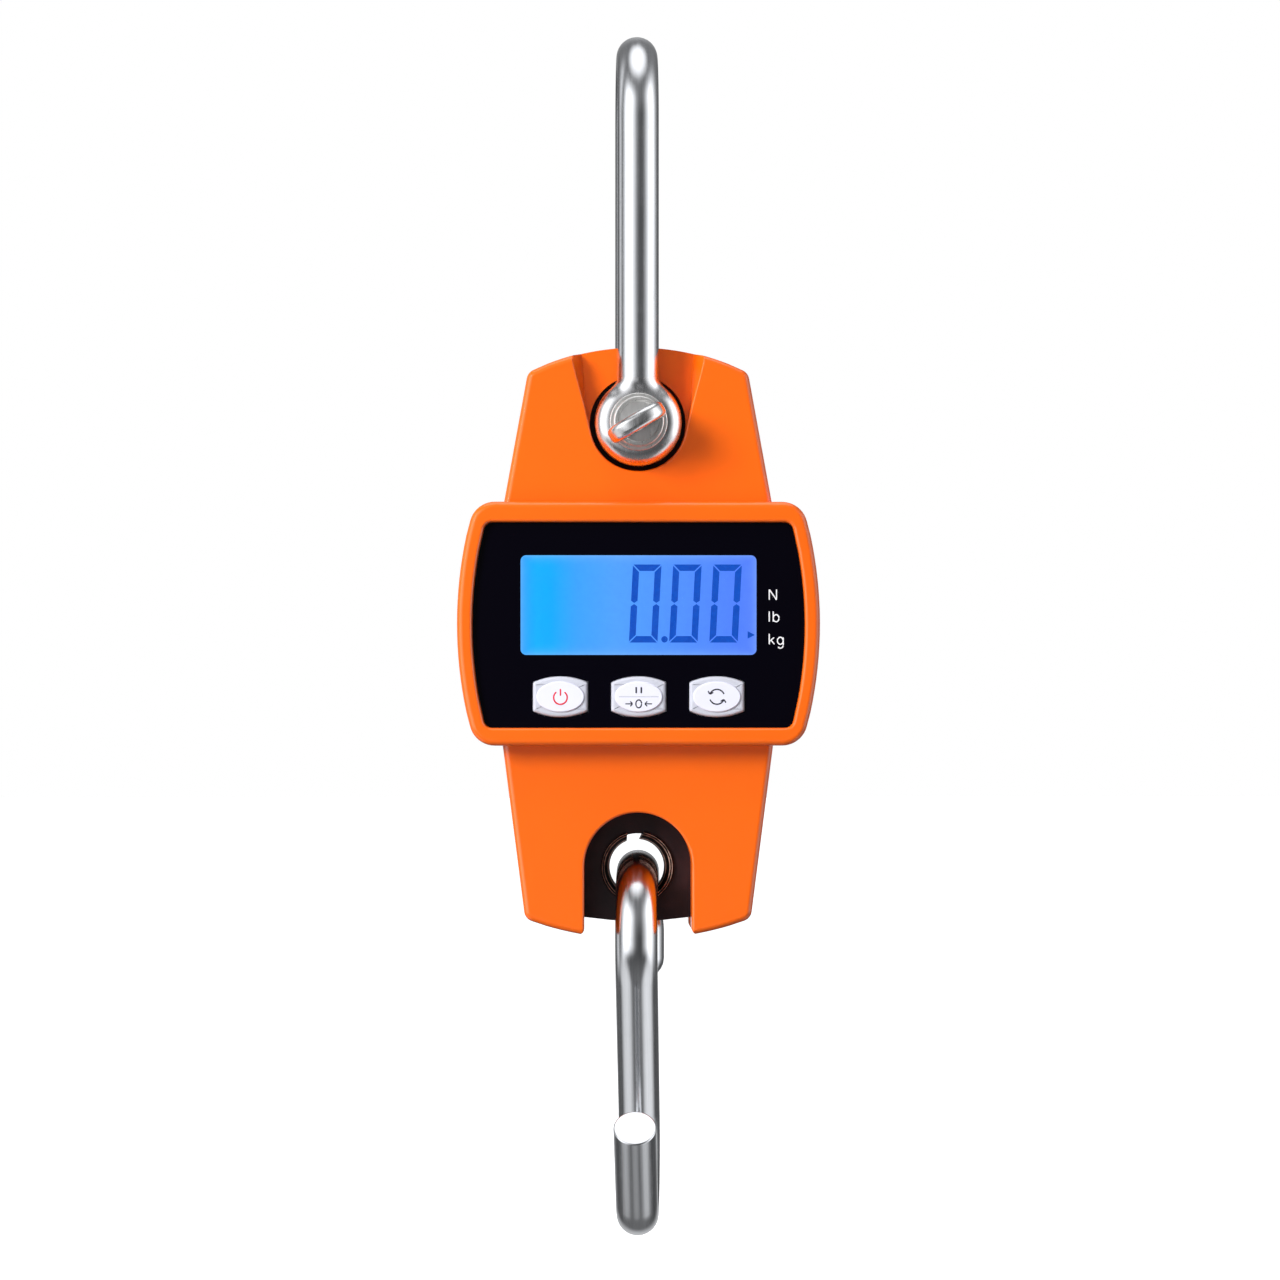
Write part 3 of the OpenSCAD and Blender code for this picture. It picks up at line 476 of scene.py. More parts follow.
class Tree(Nodes):
    """A material's nodes round one principled shader."""

    def __init__(self, name):
        self.material = bpy.data.materials.new(name)
        self.material.use_nodes = True
        super().__init__(self.material.node_tree)
        self.shader = self.add("ShaderNodeBsdfPrincipled")
        self.add("ShaderNodeOutputMaterial", {0: self.shader.outputs[0]})

    def set(self, **inputs):
        for k, v in inputs.items():
            self.put(self.shader.inputs[k.replace("_", " ")], v)
        return self


def shade(colour, by):
    return tuple(max(0.0, min(1.0, c * by)) for c in colour)


def steel(name, colour, rough, grain=True, streak=0.06, bump=0.05, metallic=1.0):
    """Polished steel with fine drawing lines, faint stains and small scratches."""
    t = Tree(name)
    where = t.place((2600, 2600, 60) if grain else (1700, 1700, 260), grain)
    lines = t.noise(where, 1.0, 4.0, 0.6)
    spots = t.noise(t.place(), 260.0, 4.0, 0.6)
    fine = t.noise(t.place((1400, 1400, 1400)), 1.0, 2.0)
    tone = t.vary(lines, colour, streak)
    tone = t.mix(t.range(spots, 0.62, 0.8, 0.0, 0.35), tone, shade(colour, 0.75))
    level = t.range(lines, 0.3, 0.7, rough * 0.8, rough * 1.25)
    level = t.maths("ADD", level, t.range(spots, 0.5, 0.8, 0.0, 0.07))
    normal = t.bump(lines, bump, 0.00004)
    normal = t.bump(fine, bump * 0.6, 0.00003, normal)
    return t.set(Base_Color=tone, Metallic=metallic, Roughness=level, Normal=normal).material


def paint():
    """Powder coat: soft orange peel, a gloss skin, slight tone changes and rub marks."""
    t = Tree("orange_paint")
    colour, rough = (0.98, 0.142, 0.002), 0.34
    peel = t.noise(t.place(), 850.0, 2.0, 0.45)
    fine = t.noise(t.place(), 3200.0, 2.0)
    drift = t.noise(t.place(), 38.0, 3.0)
    tone = t.mix(t.range(drift, 0.3, 0.7), shade(colour, 0.965), shade(colour, 1.03))
    tone = t.mix(t.range(fine, 0.68, 0.85, 0.0, 0.25), tone, shade(colour, 0.8))
    level = t.range(peel, 0.3, 0.7, rough * 0.85, rough * 1.2)
    normal = t.bump(peel, 0.10, 0.00008)
    normal = t.bump(fine, 0.04, 0.00002, normal)
    return t.set(Base_Color=tone, Roughness=level, Normal=normal, Specular_IOR_Level=0.1,
                 Coat_Weight=0.5, Coat_Roughness=0.07, Coat_IOR=2.0, Coat_Normal=normal).material


def plastic(name, colour, rough, scale, vary, bump):
    """Moulded plastic, rubber or film with fine texture and small tone changes."""
    t = Tree(name)
    grain = t.noise(t.place(), scale, 3.0, 0.55)
    drift = t.noise(t.place(), scale * 0.08, 2.0)
    tone = t.vary(drift, colour, vary)
    tone = t.mix(t.range(grain, 0.6, 0.85, 0.0, 0.5), tone, shade(colour, 1 - 2 * vary))
    level = t.range(grain, 0.3, 0.7, rough * 0.85, min(1.0, rough * 1.15))
    return t.set(Base_Color=tone, Roughness=level, Normal=t.bump(grain, bump, 0.00005)).material


def gloss_black():
    """The face panel: black gloss acrylic with the faintest haze and dust."""
    t = Tree("gloss_black")
    haze = t.noise(t.place(), 60.0, 4.0, 0.6)
    dust = t.noise(t.place(), 2600.0, 2.0)
    tone = t.mix(t.range(dust, 0.78, 0.9, 0.0, 0.3), (0.0014, 0.0010, 0.0036), (0.02, 0.02, 0.024))
    level = t.range(haze, 0.35, 0.7, 0.05, 0.11)
    return t.set(Base_Color=tone, Roughness=level, Specular_IOR_Level=0.12,
                 Normal=t.bump(haze, 0.03, 0.00005)).material


def lit_glass():
    """The lit display: cyan at the left, deeper blue to the right, brighter at its borders."""
    t = Tree("lit_glass")
    x, _, z = t.parts()
    across = t.range(x, -LCD_W / 2 * MM, LCD_W / 2 * MM)
    tone = t.ramp(across, (0.0, (0.0, 0.36, 1.0)), (0.07, (0.0, 0.44, 1.0)), (0.13, (0.0, 0.42, 1.0)),
                  (0.24, (0.045, 0.375, 1.0)), (0.40, (0.083, 0.365, 1.0)), (0.65, (0.085, 0.29, 1.0)),
                  (1.0, (0.085, 0.205, 0.98)))
    up = t.range(z, (LCD_Z - LCD_H / 2) * MM, (LCD_Z + LCD_H / 2) * MM)
    edge, side = [t.maths("POWER", t.maths("ABSOLUTE", t.range(way, 0.0, 1.0, -1.0, 1.0)), power)
                  for way, power in ((up, 14.0), (across, 26.0))]
    border = t.maths("MULTIPLY", t.maths("MAXIMUM", edge, side), 0.30)
    tone = t.mix(border, tone, (0.35, 0.62, 1.0))
    film = t.noise(t.place(), 900.0, 2.0)
    power = t.range(film, 0.3, 0.7, 0.97, 1.03)
    return t.set(Base_Color=(0.01, 0.03, 0.08), Roughness=0.3, Emission_Color=tone,
                 Emission_Strength=power).material


def lit_segments():
    """The dark segments, still lit through a little."""
    t = Tree("lit_segments")
    grain = t.noise(t.place(), 1500.0, 2.0)
    tone = t.mix(t.range(grain, 0.3, 0.7), (0.0, 0.066, 0.49), (0.0, 0.085, 0.56))
    return t.set(Base_Color=(0.0, 0.01, 0.05), Roughness=0.5, Emission_Color=tone,
                 Emission_Strength=1.0).material


def clear_plastic():
    t = Tree("clear_window")
    haze = t.noise(t.place(), 200.0, 3.0)
    return t.set(Base_Color=(0.97, 0.98, 1.0), Roughness=t.range(haze, 0.3, 0.7, 0.0, 0.03),
                 Transmission_Weight=1.0, IOR=1.1, Specular_IOR_Level=0.1).material


def board():
    """Green board with copper tracks under the mask."""
    t = Tree("board_green")
    x, _, z = t.parts(t.place((420, 420, 420)))
    flat = t.add("ShaderNodeCombineXYZ", {"X": x, "Y": z}).outputs[0]
    tracks = t.add("ShaderNodeTexBrick", {"Vector": flat, "Scale": 1.0, "Mortar Size": 0.06},
                   offset=0.37, squash=0.6).outputs["Fac"]
    grain = t.noise(t.place(), 1800.0, 2.0)
    tone = t.mix(tracks, (0.006, 0.075, 0.03), (0.03, 0.19, 0.07))
    tone = t.mix(t.range(grain, 0.4, 0.8, 0.0, 0.4), tone, (0.01, 0.05, 0.02))
    return t.set(Base_Color=tone, Roughness=t.range(grain, 0.3, 0.7, 0.25, 0.4),
                 Normal=t.bump(tracks, 0.2, 0.00005)).material


def foil():
    """Strain gauge foil: brass-coloured grid on film."""
    t = Tree("gauge_foil")
    wave = t.add("ShaderNodeTexWave", {"Vector": t.place((900, 900, 900)), "Scale": 1.0},
                 wave_type="BANDS", bands_direction="X").outputs["Fac"]
    tone = t.mix(wave, (0.45, 0.28, 0.08), (0.7, 0.5, 0.2))
    return t.set(Base_Color=tone, Metallic=0.7, Roughness=t.range(wave, 0, 1, 0.3, 0.5)).material


def wrap():
    """Battery sleeve: dark with a coloured band at one end."""
    t = Tree("battery_wrap")
    band = t.range(t.parts()["X"], 0.0099, 0.0101)
    grain = t.noise(t.place(), 1200.0, 2.0)
    tone = t.mix(band, (0.015, 0.015, 0.018), (0.55, 0.33, 0.08))
    tone = t.mix(t.range(grain, 0.45, 0.8, 0.0, 0.3), tone, (0.05, 0.05, 0.055))
    return t.set(Base_Color=tone, Roughness=t.range(grain, 0.3, 0.7, 0.22, 0.36), Coat_Weight=0.3).material


def bush_painted_glints():
    """The eyelet ring: dark oxide with rings turned in it, and brass-coloured painted glints on those rings.
    """
    t = Tree("bush_painted_glints")
    x, _, z = t.parts()
    radius = t.reach(x, t.maths("SUBTRACT", z, EYELET_Z * MM))
    patch = t.noise(t.place(), 700.0, 4.0, 0.6)
    lines = None
    for at, width in ((6.3, 0.10), (7.15, 0.12), (7.62, 0.10)):
        off = t.maths("ABSOLUTE", t.maths("SUBTRACT", radius, at * MM))
        line = t.range(off, 0.4 * width * MM, 1.3 * width * MM, 1.0, 0.0, "SMOOTHSTEP")
        lines = line if lines is None else t.maths("MAXIMUM", lines, line)
    # the brass colour on the turned rings is a painted glint (painted highlight); the rings themselves are
    # only in the bump
    painted_glint = t.maths("MULTIPLY", lines, t.range(patch, 0.35, 0.6, 0.45, 1.0))
    tone = t.mix(painted_glint, (0.020, 0.012, 0.012), (0.92, 0.60, 0.48))
    return t.set(Base_Color=tone, Metallic=t.range(painted_glint, 0.0, 1.0, 0.9, 0.3),
                 Roughness=t.range(patch, 0.3, 0.7, 0.3, 0.45),
                 Normal=t.bump(lines, 0.35, 0.00008)).material


def black_steel():
    """The load cell: blacked steel with fine specks and faint stains."""
    t = Tree("black_steel")
    specks = t.noise(t.place(), 4200.0, 2.0)
    patch = t.noise(t.place(), 240.0, 4.0)
    tone = t.mix(t.range(patch, 0.35, 0.7), (0.016, 0.009, 0.011), (0.028, 0.015, 0.017))
    tone = t.mix(t.range(specks, 0.66, 0.8, 0.0, 0.7), tone, (0.11, 0.085, 0.085))
    level = t.range(patch, 0.3, 0.7, 0.42, 0.58)
    return t.set(Base_Color=tone, Metallic=0.3, Roughness=level, Specular_IOR_Level=0.35,
                 Normal=t.bump(specks, 0.2, 0.00003)).material


def ground():
    """A pale floor with a painted glow: its emission rises away from the object, so that it fades to white.
    """
    t = Tree("pale_floor")
    x, y, _ = t.parts()
    grain = t.noise(t.place(), 14.0, 3.0)
    tone = t.mix(grain, (0.80, 0.80, 0.80), (0.84, 0.84, 0.84))
    # painted glow: the emission strength grows with distance from the object
    return t.set(Base_Color=tone, Roughness=0.8, Specular_IOR_Level=0.1, Emission_Color=(1, 1, 1),
                 Emission_Strength=t.range(t.reach(x, y), 0.25, 0.62, 0.12, 1.0)).material


SILVER = (0.74, 0.75, 0.77)

M = {
    "orange_paint": paint(),
    "steel": steel("shackle_steel", SILVER, 0.20),
    "eye_steel": steel("eye_steel", (0.80, 0.80, 0.81), 0.24, False, 0.05, 0.04),
    "pin_steel": steel("pin_steel", (0.82, 0.81, 0.79), 0.31, False, 0.06, 0.06, 0.85),
    "tab_steel": steel("tab_steel", (0.82, 0.82, 0.82), 0.24, False, 0.06, 0.05),
    "hook_steel": steel("hook_steel", SILVER, 0.18),
    "screw_steel": steel("screw_steel", (0.32, 0.32, 0.34), 0.32, False, 0.08, 0.10),
    "contact_nickel": steel("contact_nickel", (0.78, 0.76, 0.70), 0.26, False, 0.05, 0.08),
    "cell_black": black_steel(),
    "gauge_foil": foil(),
    "bush_black": bush_painted_glints(),
    "panel_black": gloss_black(),
    "clear_window": clear_plastic(),
    "lcd_blue": lit_glass(),
    "segment_blue": lit_segments(),
    "board_green": board(),
    "battery_wrap": wrap(),
}
# plastics by name: colour, roughness, grain scale, tone change and grain height
for name, values in {
    "orange_plastic": ((0.90, 0.145, 0.012), 0.42, 1300.0, 0.04, 0.10),
    "white_silicone": ((0.80, 0.80, 0.77), 0.6, 700.0, 0.04, 0.25),
    "light_guide": ((0.75, 0.82, 0.88), 0.35, 500.0, 0.03, 0.05),
    "frame_white": ((0.82, 0.82, 0.80), 0.5, 1200.0, 0.03, 0.08),
    "zebra_rubber": ((0.85, 0.45, 0.5), 0.7, 1600.0, 0.15, 0.15),
    "chip_black": ((0.02, 0.02, 0.022), 0.55, 2200.0, 0.10, 0.2),
    "switch_black": ((0.03, 0.03, 0.033), 0.5, 1600.0, 0.08, 0.15),
    "key_silver": ((0.58, 0.59, 0.67), 0.30, 1500.0, 0.03, 0.05),
    "key_pad": ((0.80, 0.80, 0.93), 0.38, 1800.0, 0.02, 0.06),
    "print_red": ((0.74, 0.008, 0.03), 0.5, 2500.0, 0.06, 0.1),
    "print_dark": ((0.02, 0.018, 0.03), 0.5, 2500.0, 0.08, 0.1),
    "print_white": ((0.86, 0.86, 0.88), 0.5, 2500.0, 0.03, 0.1),
    "stem_red": ((0.55, 0.03, 0.03), 0.45, 1500.0, 0.06, 0.1),
    "tray_black": ((0.022, 0.022, 0.024), 0.48, 1100.0, 0.10, 0.22),
    "lead_red": ((0.5, 0.02, 0.02), 0.45, 1500.0, 0.05, 0.08),
    "black_rubber": ((0.02, 0.02, 0.02), 0.75, 1500.0, 0.12, 0.3),
}.items():
    M[name] = plastic(name, *values)


# ---- shells ----

EDGE, CHANNEL_DRAFT, CHANNEL_FOOT, PANEL_RIM, CHANNEL_RIM = 1.3, 0.4, 1.3, 0.75, 0.5
ARCH_RIM, SEAM = 0.6, 0.25


def slab_layers(depth):
    return [(0.0, SEAM), (-SEAM, 0.0)] + fillet(-depth, EDGE, 6)


def shell_block():
    return fused(loft(upper_outline(), slab_layers(SLAB_Y)), loft(lower_outline(), slab_layers(SLAB_Y)),
                 loft(box_outline(), slab_layers(BOX_Y)))


def shell_hollow(depth):
    """The space inside, less the walls of the channel, the well and the arch."""
    slab = [(1, WALL), (-SLAB_Y + WALL, WALL)]
    hollow = fused(loft(upper_outline(), slab), loft(lower_outline(), slab),
                   loft(box_outline(), [(1, WALL), (-depth, WALL)]))
    return cuts(hollow, loft(channel_outline(), [(-FLOOR_BACK, -WALL), (-SLAB_Y, -WALL)]),
                loft(circle(0, PIN_Z, WELL_R + LINER_T), [(-LINER_BACK, 0), (-SLAB_Y, 0)]),
                loft(arch_outline(), [(-LINER_BACK, -LINER_T), (-SLAB_Y, -LINER_T)]))


def channel_cutter():
    """Sloped walls above the well, upright round the well, and a rounded rim."""
    outline = channel_outline()
    rise = [max(0.0, min(1.0, (z - PIN_Z - 2) / 12)) for _, z in outline]
    slope = [s * s * (3 - 2 * s) for s in rise]
    corner = 0.35
    layers = [(-FLOOR_Y, [(CHANNEL_FOOT + corner) * s for s in slope]),
              (-FLOOR_Y - corner, [CHANNEL_FOOT * s for s in slope])]
    for y, grow in rim(-SLAB_Y, CHANNEL_RIM):
        layers.append((y, [grow - CHANNEL_DRAFT * s for s in slope]))
    layers.append((-SLAB_Y - 1, layers[-1][1]))
    return loft(outline, layers)


def shell_cuts():
    well = loft(circle(0, PIN_Z, WELL_R, 96), [(-LINER_BACK + 1, 0), (-SLAB_Y - 0.5, 0)])
    arch = loft(arch_outline(FOOT_ROUND), [(-LINER_BACK + 1, 0)] + rim(-SLAB_Y, ARCH_RIM)
                + [(-SLAB_Y - 1, -ARCH_RIM)])
    neck = loft(rectangle(0, CELL_BOTTOM + 1, 2 * CELL_HALF + 0.8, 18, 0.3),
                [(2, 0), (-LINER_BACK - 0.2, 0)])
    return [channel_cutter(), well, arch, neck]


def rods(sites, y0, y1, r, n=32):
    return joined(*[loft(circle(x, z, r, n), [(y1, 0), (y0, 0)]) for x, z in sites])


OUTER = [site for site in SCREWS if abs(site[0]) > 25]
INNER = [site for site in SCREWS if abs(site[0]) <= 25]
DOOR_SCREWS = [(s * DOOR_SCREW_X, PANEL_Z) for s in (-1, 1)]
SCREW_BORE, GAP = 1.36, 0.12
FRONT_BOSS, POST, REAR_BOSS, DOOR_BOSS, SINK = 3.0, 2.2, 4.2, 2.4, 2.9
WINDOW_W, WINDOW_H, KEY_HOLE_W, KEY_HOLE_H = 55.4, 28.2, 14.3, 9.1


def front_shell():
    shell = fused(cut(shell_block(), shell_hollow(BOX_CAVITY)), rods(OUTER, -BOX_CAVITY - 1, 0, FRONT_BOSS),
                  rods(INNER, -SLAB_Y + 1, 0, FRONT_BOSS), rods(POSTS, -BOX_CAVITY - 1, -BOARD_FRONT, POST))
    panel = barrel(PANEL_Z, PANEL_HALF + GAP, PANEL_HALF_H + GAP, PANEL_SIDE_R, PANEL_CORNER + GAP)
    through = [(-BOX_CAVITY + 1, 0), (-BOX_Y, 0)]
    return cuts(
        shell, *shell_cuts(),
        loft(panel, [(-SHELF_Y, 0)] + rim(-BOX_Y, PANEL_RIM) + [(-BOX_Y - 1, -PANEL_RIM)]),
        loft(rectangle(0, LCD_Z, WINDOW_W, WINDOW_H, 0.3), through),
        *[loft(rectangle(i * KEY_PITCH, KEY_Z, KEY_HOLE_W, KEY_HOLE_H, 0.3), through) for i in (-1, 0, 1)],
        rods(SCREWS, -7.5, 1, SCREW_BORE), rods(POSTS, -BOARD_FRONT - 3.5, -BOARD_FRONT + 1, 1))


def mirrored(mesh):
    mesh.transform(Matrix.Scale(-1, 4, (0, 1, 0)))
    mesh.flip_normals()
    return mesh


def door_solid(layers, grow=0.0):
    """The door's plate and its two ears."""
    return fused(*[loft(rectangle(0, PANEL_Z, 2 * (half + grow), 2 * (half_h + grow), 3.0), layers)
                   for half, half_h in ((DOOR_HALF, DOOR_HALF_H), (DOOR_EAR, DOOR_EAR_H))])


def rear_shell():
    shell = fused(mirrored(cut(shell_block(), shell_hollow(BOX_Y - REAR_WALL))),
                  rods(OUTER, 0, BOX_Y - 1, REAR_BOSS), rods(INNER, 0, SLAB_Y - 1, REAR_BOSS),
                  rods(CELL_SCREWS, 5, SLAB_Y - 1, REAR_BOSS),
                  rods(DOOR_SCREWS, BOX_Y - 8, BOX_Y - REAR_WALL + 0.2, DOOR_BOSS))
    bay = rectangle(0, PANEL_Z, 2 * (TRAY_HALF - TRAY_WALL), 2 * (TRAY_HALF_H - TRAY_WALL), 0.3)
    sinks = joined(*[loft(circle(x, z, SINK, 40), [(BOX_Y + 1, -0.4), (top, -0.4), (top - 0.4, 0), (6, 0)])
                     for x, z in SCREWS for top in [BOX_Y if (x, z) in OUTER else SLAB_Y]])
    return cuts(shell, *[mirrored(c) for c in shell_cuts()],
                door_solid([(BOX_Y + 1, 0), (BOX_Y - DOOR_T - GAP * 0.4, 0)], GAP),
                loft(bay, [(BOX_Y, 0), (BOX_Y - 5, 0)]), rods(SCREWS, -1, 7, SCREW_BORE), sinks,
                rods(CELL_SCREWS, 4, 10.5, 2), rods(DOOR_SCREWS, BOX_Y - 7, BOX_Y, 1))


def door():
    grooves = [loft(rectangle(0, PANEL_Z + 11.4 + 1.6 * i, 16, 0.8, 0.39, 5),
                    [(BOX_Y + 1, -0.2), (BOX_Y, -0.2), (BOX_Y - 0.2, 0), (BOX_Y - 0.4, 0.1)])
               for i in range(4)]
    return cuts(door_solid(fillet(BOX_Y, 0.45, 4, False) + [(BOX_Y - DOOR_T, 0)]),
                rods(DOOR_SCREWS, BOX_Y - 3, BOX_Y + 1, 1), rods(DOOR_SCREWS, BOX_Y - 0.8, BOX_Y + 1, 2),
                *grooves)


piece("front_shell", front_shell(), "case", "orange_paint", ["front_case"])
piece("rear_shell", rear_shell(), "case", "orange_paint", ["rear_case"])
piece("door_plate", door(), "battery_door", "orange_plastic", ["battery_door"])


# ---- shackle and pin ----

def shackle_path():
    top = [(0, BOW_R * math.cos(math.radians(a)), BOW_Z + BOW_R * math.sin(math.radians(a)))
           for a in range(0, 181, 4)]
    legs = [PIN_Z + FLARE_Z + (BOW_Z - PIN_Z - FLARE_Z) * k / 12 for k in range(12)]
    return ([(0, BOW_R, z) for z in legs] + top + [(0, -BOW_R, z) for z in reversed(legs)])


def flare_half(z):
    """Half-width of the forged flare at height z above the pin."""
    a = math.radians(FLARE_ANGLE)
    z0 = EYE_R * math.sin(a)
    w0, m0 = EYE_R * math.cos(a), -math.tan(a)
    s = max(0.0, min(1.0, (z - z0) / (FLARE_Z - z0)))
    d = FLARE_Z - z0
    return (w0 * (2 * s ** 3 - 3 * s ** 2 + 1) + m0 * d * (s ** 3 - 2 * s ** 2 + s)
            + ROD_R * (-2 * s ** 3 + 3 * s ** 2))


def eye(y):
    """One forged eye: flat faces with rounded rims, running into the round leg above."""
    z0 = EYE_R * math.sin(math.radians(FLARE_ANGLE))
    heights = [z0 + (FLARE_Z - z0) * k / 20 for k in range(1, 21)]
    right = [(flare_half(z), z) for z in heights]
    left = [(-x, z) for x, z in reversed(right)]
    outline = arc(0, 0, EYE_R, 180 - FLARE_ANGLE, 360 + FLARE_ANGLE, 84) + right + left
    push = normals(outline)
    n = len(outline)
    for i, (x, z) in enumerate(outline):
        if z > FLARE_Z - 1e-6:
            push[i] = Vector((math.copysign(1, x), 0))
    out = math.copysign(BOW_R - EYE_Y, y)

    def blend(z):
        """0 on the flat of the eye, 1 at the foot of the leg."""
        s = max(0.0, min(1.0, (z - WASHER_R) / (FLARE_Z - WASHER_R)))
        return s * s * (3 - 2 * s)

    def face(z, side):
        return out * blend(z) + side * (EYE_HALF + (ROD_R - EYE_HALF) * blend(z))

    def rim_point(i, a, side):
        x, z = outline[i]
        f = EYE_RIM + (ROD_R - EYE_RIM) * blend(z)
        inset = min(f, flare_half(z) if z > z0 else f) * (1 - math.cos(a))
        z -= push[i].y * inset
        return x - push[i].x * inset, face(z, side) - side * f * (1 - math.sin(a)), z

    def polar(i, side):
        """The angle and radius of the rim's inner end."""
        x, _, z = rim_point(i, math.pi / 2, side)
        return math.atan2(z, x), math.hypot(x, z)

    def bore_point(i, step, side):
        a, _ = polar(i, side)
        r = PIN_BORE + BORE_CHAMFER * (1 - step)
        return r * math.cos(a), side * (EYE_HALF - BORE_CHAMFER * step), r * math.sin(a)

    def inner_point(i, s, side):
        a, far = polar(i, side)
        r = (PIN_BORE + BORE_CHAMFER) * (1 - s) + far * s
        return r * math.cos(a), face(r * math.sin(a), side), r * math.sin(a)

    rings = []
    for side in (-1, 1):
        rows = [[bore_point(i, step, side) for i in range(n)] for step in (1, 0)]
        rows += [[inner_point(i, s, side) for i in range(n)] for s in (0.15, 0.3, 0.45, 0.6, 0.75, 0.9)]
        rows += [[rim_point(i, math.radians(a), side) for i in range(n)] for a in range(90, -1, -10)]
        rings += rows if side < 0 else reversed(rows)
    verts = [(px, y + py, PIN_Z + pz) for row in rings for px, py, pz in row]
    mesh = skin(verts, len(rings), True, 0.001)
    return add_grain(mesh, [tuple(v.co) for v in mesh.vertices])


def pin():
    """The pin and its collar, which has a turned groove and a dished face."""
    r, f, front = COLLAR_R, COLLAR_ROUND, COLLAR_FRONT
    groove, dish = front + 0.18, front + COLLAR_DISH
    profile = [(0.01, PIN_END), (PIN_R - PIN_CHAMFER, PIN_END), (PIN_R, PIN_END - 1), (PIN_R, COLLAR_BACK)]
    profile += reversed(arc(r - f, COLLAR_BACK - f, f, 0, 90, 6))
    profile += arc(r - f, front + f, f, 0, -90, 6)[1:]
    profile += [(r - 0.55, front), (r - 0.7, groove), (r - 0.85, groove), (r - 1.15, dish), (0.01, dish)]
    return lathe(profile, 0, PIN_Z)


def pin_tab():
    """The turning tab: a squarish half-round plate standing out of the collar."""
    reach = TAB_OUT
    mid = -(reach - TAB_W / 2)
    root = COLLAR_DISH - 0.2
    crown = [(math.copysign(abs(x) ** TAB_BOXY, x) * TAB_W / 2, mid - abs(z) ** TAB_BOXY * TAB_W / 2)
             for x, z in arc(0, 0, 1, 180, 360, 48)]
    side = [(-TAB_W / 2, root), *crown, (TAB_W / 2, root)]
    outline = tidy([(x, max(z, -reach)) for x, z in side])
    half = TAB_T / 2
    f = TAB_ROUND
    layers = [(half - f + f * math.sin(math.radians(a)), f - f * math.cos(math.radians(a)))
              for a in range(90, -1, -18)]
    layers += [(-y, d) for y, d in reversed(layers)]
    plate = loft(outline, layers)
    c = BORE_CHAMFER
    hole = loft(circle(0, -reach * 0.58, TAB_HOLE, 32),
                [(half + 1, -c), (half, -c), (half - c, 0), (-half + c, 0), (-half, -c), (-half - 1, -c)])
    plate = cut(plate, hole)
    # from the outline's plane to the tab's own: out is -Y, thickness is across
    turn = Matrix(((1, 0, 0, 0), (0, 0, 1, 0), (0, 1, 0, 0), (0, 0, 0, 1)))
    plate.transform(turn)
    plate.flip_normals()
    plate.transform(Matrix.Translation((-TAB_SHIFT, 0, 0)))
    plate.transform(Matrix.Rotation(math.radians(-TAB_ANGLE), 4, "Y"))
    plate.transform(Matrix.Translation((0, COLLAR_FRONT + 0.4, PIN_Z)))
    return plate


rod = sweep(shackle_path(), ROD_R, 64)
piece("shackle_rod", rod, "shackle", "steel", ["shackle"], 40)
piece("shackle_eyes", joined(eye(-EYE_Y), eye(EYE_Y)), "shackle", "eye_steel", ["shackle"], 40)
piece("pin_body", pin(), "pin", "pin_steel", ["shackle_pin"], 35)
piece("pin_tab", pin_tab(), "pin", "tab_steel", ["shackle_pin"], 40)


# ---- hook and its ring ----

def hook_path():
    lean = math.degrees(math.asin(2 * HOOK_R / HOOK_SPAN))
    low = HOOK_Z - HOOK_SPAN

    def at(z, a):
        return (0, HOOK_R * math.cos(math.radians(a)), z + HOOK_R * math.sin(math.radians(a)))

    path = [(HOOK_SPLAY, HOOK_R, HOOK_Z - HOOK_LEG - HOOK_ROD + 0.01)]
    path += [(HOOK_SPLAY, HOOK_R, HOOK_Z - HOOK_LEG + HOOK_LEG * k / 6) for k in range(6)]
    steps = 48
    for k in range(steps + 1):
        a = (180 + lean) * k / steps
        _, y, z = at(HOOK_Z, a)
        t = max(0.0, 1 - a / SPLAY_ANGLE)
        path.append((HOOK_SPLAY * t * t * (3 - 2 * t), y, z))
    a, b = Vector(path[-1]), Vector(at(low, lean))
    path += [a.lerp(b, k / 14) for k in range(1, 14)]
    turn = lean + 90 + TIP_TURN
    path += [at(low, lean - turn * k / steps) for k in range(steps + 1)]
    end = Vector(path[-1])
    out = Vector((0, -math.sin(math.radians(TIP_TURN)), math.cos(math.radians(TIP_TURN))))
    path += [end + out * HOOK_TIP * k / 10 for k in range(1, 11)]
    return path


def hook():
    mesh = sweep(hook_path(), HOOK_ROD, 72, HOOK_ROD - 0.05, 0.35)
    mesh.transform(Matrix.Rotation(math.radians(HOOK_YAW), 4, "Z"))
    mesh.transform(Matrix.Translation((HOOK_SHIFT, 0, 0)))
    return mesh


